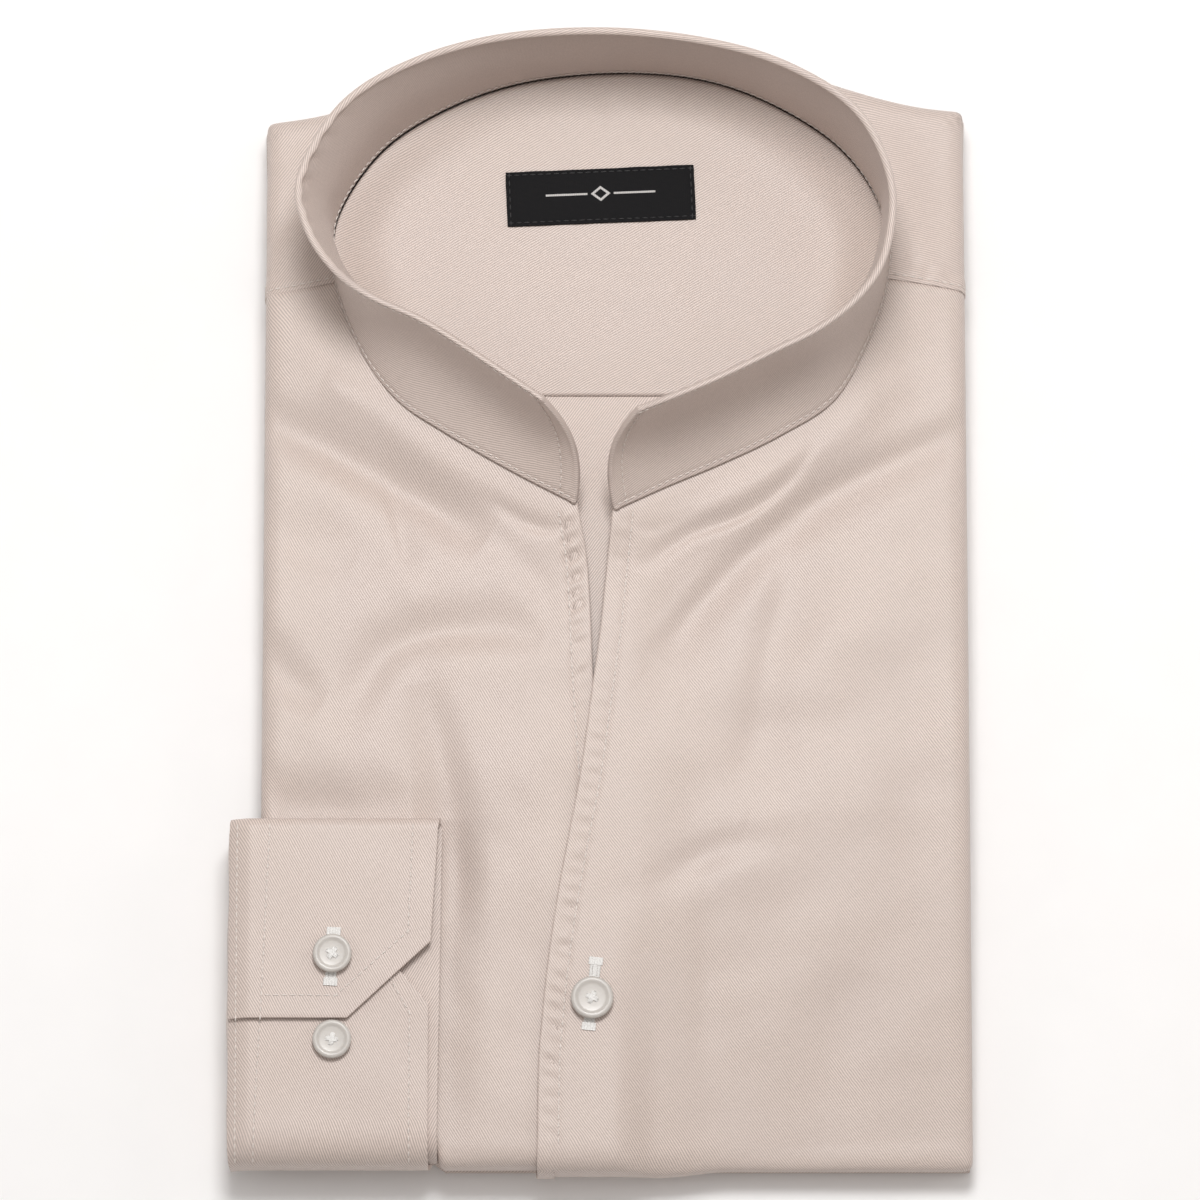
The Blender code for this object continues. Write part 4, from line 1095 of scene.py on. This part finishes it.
def makeCollar():
    sizes = collarSizes
    ends = ((0.9, 0.15), (2.1, 0.35), (1.0, 0.5), (3.0, 0.4))
    places = spacing(*ends, (sizes["length"] - 14.0, sizes["step"]), *ends[::-1])
    walked = lengthAlong(neckLine)
    tablePlaces = np.linspace(0, collarLast, len(neckLine))
    atPlace = np.interp(places / places[-1] * walked[-1], walked, tablePlaces)[:, None]
    ups = spacing((0.6, 0.3), (2.0, 0.4), (31.0, 1.3), (2.0, 0.35), (1.2, 0.2))
    ups = ups[None, :] / ups[-1]
    height = collarFrame(atPlace)[4]
    fromEnd = np.minimum(places, places[-1] - places)[:, None] + 0.25
    up, fromTop = ups * height, (1 - ups) * height + 0.02
    outer = collarThickness(fromTop, up, fromEnd, 1.0)
    inner = -collarThickness(fromTop, up, fromEnd, 0.3)
    pucker = sizes["pucker"] * bell(fromTop - sizes["puckerAt"], sizes["puckerWidth"])
    pucker = pucker * bell(atPlace - sizes["puckerPlace"], sizes["puckerReach"])
    inner = inner + pucker * np.sin(places[:, None] / sizes["puckerWave"])
    points = collarSpot(atPlace, np.hstack([up, up[:, ::-1]]), np.hstack([outer, inner[:, ::-1]]))
    steps = np.linalg.norm(np.diff(points, axis=1), axis=-1)
    folded = np.hstack([np.zeros((len(places), 1)), np.cumsum(steps, axis=1)])
    flat = np.stack(np.broadcast_arrays(places[:, None], folded), -1)
    piece = addCloth("collarBand", "collar", twill["collarTwill"], points, flat, flip=True, ring=True)
    reworked(piece.data, lambda form: closeCollarEnds(form, *folded.shape))
    piece.data.shade_smooth()

    run = np.linspace(sizes["rowsFrom"], collarLast - sizes["rowsFrom"], 420)
    half = sizes["wall"] / 2 + 0.02
    rows = [collarSpot(run, up, half * out)
            for up, out in ((collarFrame(run)[4] - sizes["rimStitch"], 0.93), (sizes["baseStitch"], 0.72),
                            (sizes["baseStitch"], -0.72), (sizes["innerStitch"], -0.84))]
    inset = np.interp(sizes["endStitch"], walked, tablePlaces)
    for place in (inset, collarLast - inset):
        rows.append(collarSpot(place, np.linspace(0.03, 0.94, 40) * collarFrame(place)[4], half * 0.80))
    stitches = sew("collarStitches", rows, paleThread, 17, Pitch=0.0020, Length=0.0015, Width=0.00036)


makeCollar()
print("collar made")


# Cuff: a stiffened band folded on itself, its upper leaf over its under-leaf

cuffSizes = {
    "left": -98.7, "edgeUpper": (-45.2, -43.3), "edgeBack": (-42.3, -43.4), "edgeUnder": -45.8,
    "wall": 1.45, "rounding": 0.45, "levels": (1.2, 3.1, 5.0),
    "top": -64.2, "upperEnd": -115.8, "underEnd": -85.8,
    "cutAcross": 22.2, "cutUpper": 20.6, "cutUnder": 26.0, "wrap": 13.5,
    "levelFrom": 3.6, "turnFrom": -93.2, "turnOver": 5.5, "turnDrop": 2.6,
    # stitching: mm in from the edges, x of the row beside the buttons on each leaf, x of the row
    # by the fold, and the y where the rows of the under-leaf end
    "stitchInset": 6.0, "rowUpper": (-88.3, -90.4), "rowUnder": (-90.6, -92.2), "foldRow": -97.0,
    "rowEnd": -150.0,
}


def cuffFace(x, v, out):
    sizes = cuffSizes
    level = rolled(np.full(np.shape(v), body["left"] - sizes["levelFrom"]), v, out, sides=False)
    drop = sizes["turnDrop"] * np.clip((sizes["turnFrom"] - x) / sizes["turnOver"], 0.0, 1.1) ** 1.6
    soft = 0.20 * unevenness(x, v, 34.0, 91)
    return np.stack([x + 0 * level[..., 1], level[..., 1], level[..., 2] - drop + soft], -1)


def cuffBand():
    # rows along the folded band: distance along the cloth below it, height out, x of its edge
    sizes = cuffSizes
    back, under, upper = sizes["levels"]
    bottom = float(rollStarts(sizes["left"], 0.0)[2])
    wrapped = bottom - sizes["wrap"]
    upperCut = sizes["upperEnd"] + sizes["cutUpper"]
    underCut = sizes["underEnd"] - sizes["cutUnder"]
    (atCut, atFold), (backTop, backLow), edge = sizes["edgeUpper"], sizes["edgeBack"], sizes["edgeUnder"]
    rows = []

    def run(vFrom, vTo, outFrom, outTo, xFrom, xTo, step=1.1):
        count = max(2, round(abs(vTo - vFrom) / step))
        for share in np.linspace(0, 1, count)[(1 if rows else 0):]:
            rows.append((blend(vFrom, vTo, share), blend(outFrom, outTo, share), blend(xFrom, xTo, share)))

    def bend(v, outFrom, outTo, xFrom, xTo, side):
        radius = abs(outTo - outFrom) / 2
        for share in np.linspace(0, 1, 10)[1:]:
            turn = math.pi * share
            rows.append((v + side * radius * math.sin(turn),
                         blend(outFrom, outTo, (1 - math.cos(turn)) / 2), blend(xFrom, xTo, share)))

    run(sizes["upperEnd"], upperCut, upper, upper, atCut - sizes["cutAcross"], atCut)
    run(upperCut, sizes["top"], upper, upper, atCut, atFold)
    bend(sizes["top"], upper, back, atFold, backTop, 1)
    run(sizes["top"], bottom, back, back, backTop, backLow)
    run(bottom, wrapped, back, back, backLow, backLow)
    bend(wrapped, back, under, backLow, edge, -1)
    run(wrapped, bottom, under, under, edge, edge)
    run(bottom, underCut, under, under, edge, edge)
    run(underCut, sizes["underEnd"], under, under, edge, edge - sizes["cutAcross"])
    return np.array(rows)


def makeCuff():
    sizes = cuffSizes
    band = cuffBand()
    v, out, edge = np.hsplit(band, 3)
    across = np.concatenate([np.linspace(0, 0.11, 12)[:-1], np.linspace(0.11, 1, 54)])[None, :]
    x = blend(sizes["left"], edge, across)
    # the face turns over at the folds, so its outer side is found from the middle of the cloth
    middle = cuffFace(x, v + 0 * x, out + 0 * x)
    normal = unit(np.cross(np.gradient(middle, axis=1), np.gradient(middle, axis=0)))
    half = sizes["wall"] / 2
    flat = np.stack([x, 0 * x - lengthAlong(band[:, :2])[:, None]], -1)
    piece = addCloth("cuffBand", "cuff", twill["cuffTwill"], middle + normal * half, flat, sizes["wall"],
                     sizes["rounding"])

    rows = []

    def line(level, *corners):
        for (fromX, fromV), (toX, toV) in zip(corners, corners[1:]):
            count = max(4, int(math.hypot(toX - fromX, toV - fromV) / 1.5))
            share = np.linspace(0, 1, count)
            out = share * 0 + level + half + 0.08
            rows.append(cuffFace(blend(fromX, toX, share), blend(fromV, toV, share), out))

    _, under, upper = sizes["levels"]
    inset, cut, top, end = (sizes[name] for name in ("stitchInset", "cutAcross", "top", "upperEnd"))
    foldRow, rowEnd, underEnd = sizes["foldRow"], sizes["rowEnd"], sizes["underEnd"]
    edge = sizes["edgeUpper"][0]
    line(upper, (-88.5, end + inset), (edge - cut - 3.0, end + inset),
         (edge - inset, end + sizes["cutUpper"] + 2.6), (edge - inset + 1.2, top))
    line(upper, (sizes["rowUpper"][0], top), (sizes["rowUpper"][1], end))
    line(upper, (foldRow, top), (foldRow, end))
    edge = sizes["edgeUnder"]
    line(under, (edge - cut * 0.55, underEnd - 15.5),
         (edge - inset + 1.0, underEnd - sizes["cutUnder"] - 2.4), (edge - inset + 1.0, rowEnd))
    line(under, (sizes["rowUnder"][0], end - 1.0), (sizes["rowUnder"][1], rowEnd))
    line(under, (foldRow, end - 1.0), (foldRow, rowEnd))
    stitches = sew("cuffStitches", rows, paleThread, 29)


makeCuff()
print("cuff made")


# Sleeve: a flattened tube from between the layers up round the side to the cuff

sleeveSizes = {"top": -62.4, "bottom": -150.5, "wall": 0.5, "halfThick": 1.1, "endThick": 0.6, "rows": 70}
# its middle, from under the layers up to the cuff: x, z
sleevePath = ((-85.2, 3.4), (-89.0, 3.5), (-93.2, 4.7), (-96.5, 7.8), (-97.9, 11.6), (-98.2, 15.0),
              (-98.0, 18.2))


def makeSleeve():
    sizes = sleeveSizes
    places = np.linspace(0, len(sleevePath) - 1, 44)
    middle = readTable(sleevePath, places)
    along = unit(np.gradient(middle, axis=0))
    half = sizes["halfThick"]
    y = np.linspace(sizes["top"] - half, sizes["bottom"] + half, sizes["rows"])
    turn = np.linspace(0, math.pi, 8)[1:-1]
    level = np.full(sizes["rows"], half)
    ringY = np.concatenate([y, y[-1] - half * np.sin(turn), y[::-1], y[0] + half * np.sin(turn)])
    ringOut = np.concatenate([level, half * np.cos(turn), -level, -half * np.cos(turn)])
    narrowed = blend(1.0, sizes["endThick"] / half, ease((places[:, None] - 4.4) / 1.6))
    out = ringOut[None, :] * narrowed + 0.25 * unevenness(ringY[None, :], places[:, None] * 6, 30.0, 101)
    x = middle[:, 0:1] - along[:, 1:2] * out
    z = middle[:, 1:2] + along[:, 0:1] * out
    points = np.stack([x, ringY[None, :] + 0 * x, z], -1)
    around = lengthAlong(np.stack([ringY, ringOut], -1))
    flat = np.stack(np.broadcast_arrays(lengthAlong(middle)[:, None], around[None, :]), -1)
    piece = addCloth("sleeveTube", "sleeve", twill["sleeveTwill"], points, flat, sizes["wall"], flip=True,
                     ring=True)


makeSleeve()
print("sleeve made")


# Buttons

buttonSizes = {
    # name: node, diameter, height, turn of its holes
    "buttonFront": ("button_front", 11.4, 2.6, 20.0),
    "buttonCuffUpper": ("button_cuff_upper", 10.4, 2.4, 10.0),
    "buttonCuffLower": ("button_cuff_lower", 10.4, 2.4, 35.0),
}
buttonProfile = (
    # share of the radius, share of the height: from the middle of the dish over the rim to the underside
    (0.0, 0.74), (0.30, 0.74), (0.60, 0.745), (0.68, 0.77), (0.73, 0.83), (0.78, 0.87), (0.84, 0.885),
    (0.91, 0.87), (0.97, 0.79), (1.0, 0.62), (0.995, 0.46), (0.95, 0.24), (0.84, 0.08), (0.6, 0.0),
    (0.0, 0.0),
)
holeSizes = {"radius": 0.48, "fromCentre": 1.35, "sides": 16}
strandSizes = {"count": 5, "gap": 0.25, "reach": 1.75, "uneven": (-0.15, 0.2), "arch": 0.34, "dip": 0.5}


def turnedButton(form, radius, height):
    steps = 48
    rings = []
    for share, rise in buttonProfile:
        if share == 0.0:
            rings.append([form.verts.new((0, 0, rise * height))] * steps)
            continue
        angles = np.arange(steps) * 2 * math.pi / steps
        rings.append([form.verts.new((share * radius * math.cos(angle), share * radius * math.sin(angle),
                                      rise * height)) for angle in angles])
    for upper, lower in zip(rings, rings[1:]):
        for here, after in zip(range(steps), (*range(1, steps), 0)):
            # a ring that is one point gives triangles
            form.faces.new(dict.fromkeys((upper[here], lower[here], lower[after], upper[after])))
    bmesh.ops.recalc_face_normals(form, faces=form.faces)


def drilled(name, mesh, angles, height):
    blank = bpy.data.objects.new(name + "Blank", mesh)
    bpy.context.scene.collection.objects.link(blank)
    drills = []
    far = holeSizes["fromCentre"] * mm
    for angle in angles:
        bpy.ops.mesh.primitive_cylinder_add(vertices=holeSizes["sides"], radius=holeSizes["radius"] * mm,
                                            depth=height * 3)
        drill = bpy.context.object
        drill.location = (far * math.cos(angle), far * math.sin(angle), 0.0)
        hole = blank.modifiers.new("hole", "BOOLEAN")
        hole.operation = "DIFFERENCE"
        hole.object = drill
        drills.append(drill)
    bpy.context.view_layer.update()
    result = bpy.data.meshes.new_from_object(blank.evaluated_get(bpy.context.evaluated_depsgraph_get()))
    result.name = name
    for used in (*drills, blank):
        bpy.data.objects.remove(used)
    return result


def buttonThread(name, centre, height, angles, seed):
    # flat strands from the middle of the dish down into each hole
    sizes = strandSizes
    chance = np.random.default_rng(seed)
    share = np.linspace(0, 1, 8)
    rise = height * buttonProfile[0][1] + sizes["arch"] * np.sin(math.pi * np.clip(share * 0.75 + 0.25, 0, 1))
    rise = rise - sizes["dip"] * (share > 0.9)
    strands = []
    for angle in angles:
        ray = np.array([math.cos(angle), math.sin(angle)])
        side = np.array([-ray[1], ray[0]])
        for strand in range(sizes["count"]):
            far = ray * (sizes["reach"] + chance.uniform(*sizes["uneven"]))
            beside = side * (strand - sizes["count"] // 2) * sizes["gap"]
            spot = blend(-0.1, 1.0, share)[:, None] * far + beside + centre[:2]
            strands.append(np.stack([spot[:, 0], spot[:, 1], centre[2] + rise], -1))
    sew(name, strands, whiteThread, 41, "button", Pitch=0.0005, Length=0.0009, Width=0.00034, Height=0.00034,
        Wander=0.1)


def makeButton(name, node, diameter, height, turn):
    low, high = (np.array(corner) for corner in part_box(node))
    centre = np.array([*(low[:2] + high[:2]) / 2, low[2]])
    angles = np.radians(45 + 90 * np.arange(4) + turn)
    mesh = bpy.data.meshes.new(name)
    reworked(mesh, lambda form: turnedButton(form, diameter / 2 * mm, height * mm))
    mesh = drilled(name, mesh, angles, height * mm)
    mesh.transform(Matrix.Translation(centre))
    mesh.shade_smooth()
    piece = addPiece(name, mesh, buttonShell)
    edge = piece.modifiers.new("edge", "EDGE_SPLIT")
    edge.split_angle = math.radians(40)
    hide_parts(node)
    buttonThread(name + "Thread", centre / mm, height, angles, int(turn))


for name, values in buttonSizes.items():
    makeButton(name, *values)
print("buttons made")


# Buttonholes: a slit whipped with white thread, with a thicker bar at each end

buttonholeSizes = {"pitch": 0.34, "reach": (0.25, 1.05), "raised": 0.12,
                   "barHalf": 1.45, "barLength": 0.9, "barRaised": 0.28}


def makeButtonhole(name, start, end, face):
    sizes = buttonholeSizes
    start, end = np.array(start), np.array(end)
    length = np.linalg.norm(end - start)
    run = (end - start) / length
    side = np.array([-run[1], run[0]])
    rows = []

    def stitch(place, across, raised):
        spots = start + run * place + across[:, None] * side
        rows.append(face(spots[:, 0], spots[:, 1]) + (0.0, 0.0, raised))

    for place in np.arange(0.0, length, sizes["pitch"]):
        for hand in (-1, 1):
            stitch(place, hand * np.linspace(*sizes["reach"], 3), sizes["raised"])
    for barPlace in (0.0, length):
        for place in np.linspace(-sizes["barLength"], sizes["barLength"], 8):
            stitch(barPlace + place, np.linspace(-sizes["barHalf"], sizes["barHalf"], 6), sizes["barRaised"])
    sew(name, rows, whiteThread, 47, Pitch=0.0006, Length=0.001, Width=0.00042, Height=0.0004, Wander=0.15)


def cuffTop(x, y):
    return cuffFace(x, y, np.full(np.shape(x), cuffSizes["levels"][2] + cuffSizes["wall"] / 2))


makeButtonhole("buttonholeFront", (-1.1, -100.0), (-3.0, -117.6), lambda x, y: frontFace(1, x, y))
makeButtonhole("buttonholeCuff", (-71.0, -92.6), (-71.8, -106.2), cuffTop)
print("buttonholes made")


# Layers folded away, layered at the edges

layerSizes = {
    # each leaf: low, high, reach past the line where the fronts start to roll
    "leaves": ((0.0, 2.45, 6.9), (2.55, 5.2, 6.6), (5.3, 8.8, 0.4), (8.9, 12.2, 0.4)),
    "sleeveNotch": -44.0, "cornerPower": 7.0,
    "flaps": (-36.0, 40.0), "tailFold": -52.0, "flapStep": 0.55,
    # grid lines: round each edge, across, along, and close beside the folds of the underside
    "edgeCells": 6, "columns": (-80.0, 87.0, 5.5), "rows": (-135.0, 126.0, 6.0), "sides": (-84.0, 92.0),
    "foldColumns": (-2.5, -1.6, -0.8, 0.0, 0.8, 1.6, 2.5),
}


def underFold(x, y):
    # on the underside the two sides and the tail are folded in over the middle of the back
    left, right = layerSizes["flaps"]
    inside = ease((x - left + 0.02 * y) / 0.9) * ease((right - x - 0.015 * y) / 0.9)
    return layerSizes["flapStep"] * inside * ease((y - layerSizes["tailFold"]) / 0.9)


def layerLimits(u, v, reach):
    left, right, bottom, top = rollStarts(u, v)
    beside = 1.0 - ease((layerSizes["sleeveNotch"] - v) / 8.0)
    return left - reach * beside, right + reach, bottom - reach, top + reach


def layerGrids(low, high, reach):
    # upper and lower face of one leaf, with a quarter turn of cells round each of its sides
    radius = (high - low) / 2
    cells = layerSizes["edgeCells"]
    turned = np.linspace(0, 1, cells)[1:] * radius * math.pi / 2
    before, after = np.append(-turned[::-1], 0.0), np.insert(turned, 0, 0.0)
    (foldLeft, foldRight), tail = layerSizes["flaps"], layerSizes["tailFold"]
    fine = np.array(layerSizes["foldColumns"])
    inX = np.unique([*np.arange(*layerSizes["columns"]), *(foldLeft + fine), *(foldRight + fine)])
    inY = np.unique([*np.arange(*layerSizes["rows"]), *(tail + fine)])
    firstX, lastX = layerSizes["sides"]
    u = np.tile(np.concatenate([[firstX] * cells, inX, [lastX] * cells]), (len(inY) + 2 * cells, 1))
    v = np.zeros(u.shape)
    _, _, bottom, top = layerLimits(u, v, reach - radius)
    v[cells:-cells] = inY[:, None]
    v[:cells] = bottom[:cells] + before[:, None]
    v[-cells:] = top[:cells] + after[:, None]
    left, right, _, _ = layerLimits(u, v, reach - radius)
    u[:, :cells] = left[:, :cells] + before
    u[:, -cells:] = right[:, :cells] + after
    left, right, bottom, top = layerLimits(u, v, reach - radius)
    x, y = np.clip(u, left, right), np.clip(v, bottom, top)
    overX, overY = u - x, v - y
    angle = np.minimum(np.maximum(np.abs(overX), np.abs(overY)) / radius, math.pi / 2)
    angle[[0, -1]] = math.pi / 2
    angle[:, [0, -1]] = math.pi / 2
    power = layerSizes["cornerPower"]
    length = np.maximum((np.abs(overX) ** power + np.abs(overY) ** power) ** (1.0 / power), 1e-9)
    x = x + overX / length * np.sin(angle) * radius
    y = y + overY / length * np.sin(angle) * radius
    x = x + 0.25 * unevenness(y, v * 0.0, 90.0, round(low) + 7) * np.sin(angle)
    bulge = np.cos(angle) * radius
    fold = underFold(x, y) * np.cos(angle) if low == 0.0 else 0.0
    upper = np.stack([x, y, low + radius + bulge], -1)
    lower = np.stack([x, y, low + radius - bulge + fold], -1)
    return np.stack([u, v], -1), upper, lower


def makeFoldedLayers():
    # the hidden cloth as a stack of leaves with rounded folds
    points, quads, flats = [], [], []
    first = 0
    for leaf in layerSizes["leaves"]:
        flat, upper, lower = layerGrids(*leaf)
        for places, flip in ((upper, False), (lower, True)):
            quads.append(gridFaces(*places.shape[:2], first=first, flip=flip))
            points.append(places.reshape(-1, 3))
            flats.append(flat.reshape(-1, 2))
            first += len(points[-1])
    mesh = clothMesh("foldedLayers", *map(np.concatenate, (points, quads, flats)))
    reworked(mesh, lambda form: bmesh.ops.remove_doubles(form, verts=form.verts, dist=1e-6))
    piece = addPiece("foldedLayers", mesh, twill["sleeveTwill"])
    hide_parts("folded_layers")


makeFoldedLayers()
print("folded layers made")


floorSizes = {"half": 6.0, "level": -0.0002, "grain": 60.0,
              "dark": (0.90, 0.90, 0.90, 1.0), "light": (0.93, 0.93, 0.93, 1.0)}


def makeFloor():
    half, level = floorSizes["half"], floorSizes["level"]
    board = Board("paleFloor")
    grain = board.noise(board.objectPlace(), floorSizes["grain"], 3.0)
    tone = board.blendColours(grain, floorSizes["dark"], floorSizes["light"])
    finish = board.finish({"Base Color": tone, "Roughness": grain * 0.1 + 0.8, "Specular IOR Level": 0.2})
    mesh = bpy.data.meshes.new("floor")
    corners = [(-half, -half, level), (half, -half, level), (half, half, level), (-half, half, level)]
    mesh.from_pydata(corners, [], [(0, 1, 2, 3)])
    mesh.materials.append(finish)
    floor = bpy.data.objects.new("floor", mesh)
    bpy.context.scene.collection.objects.link(floor)


makeFloor()
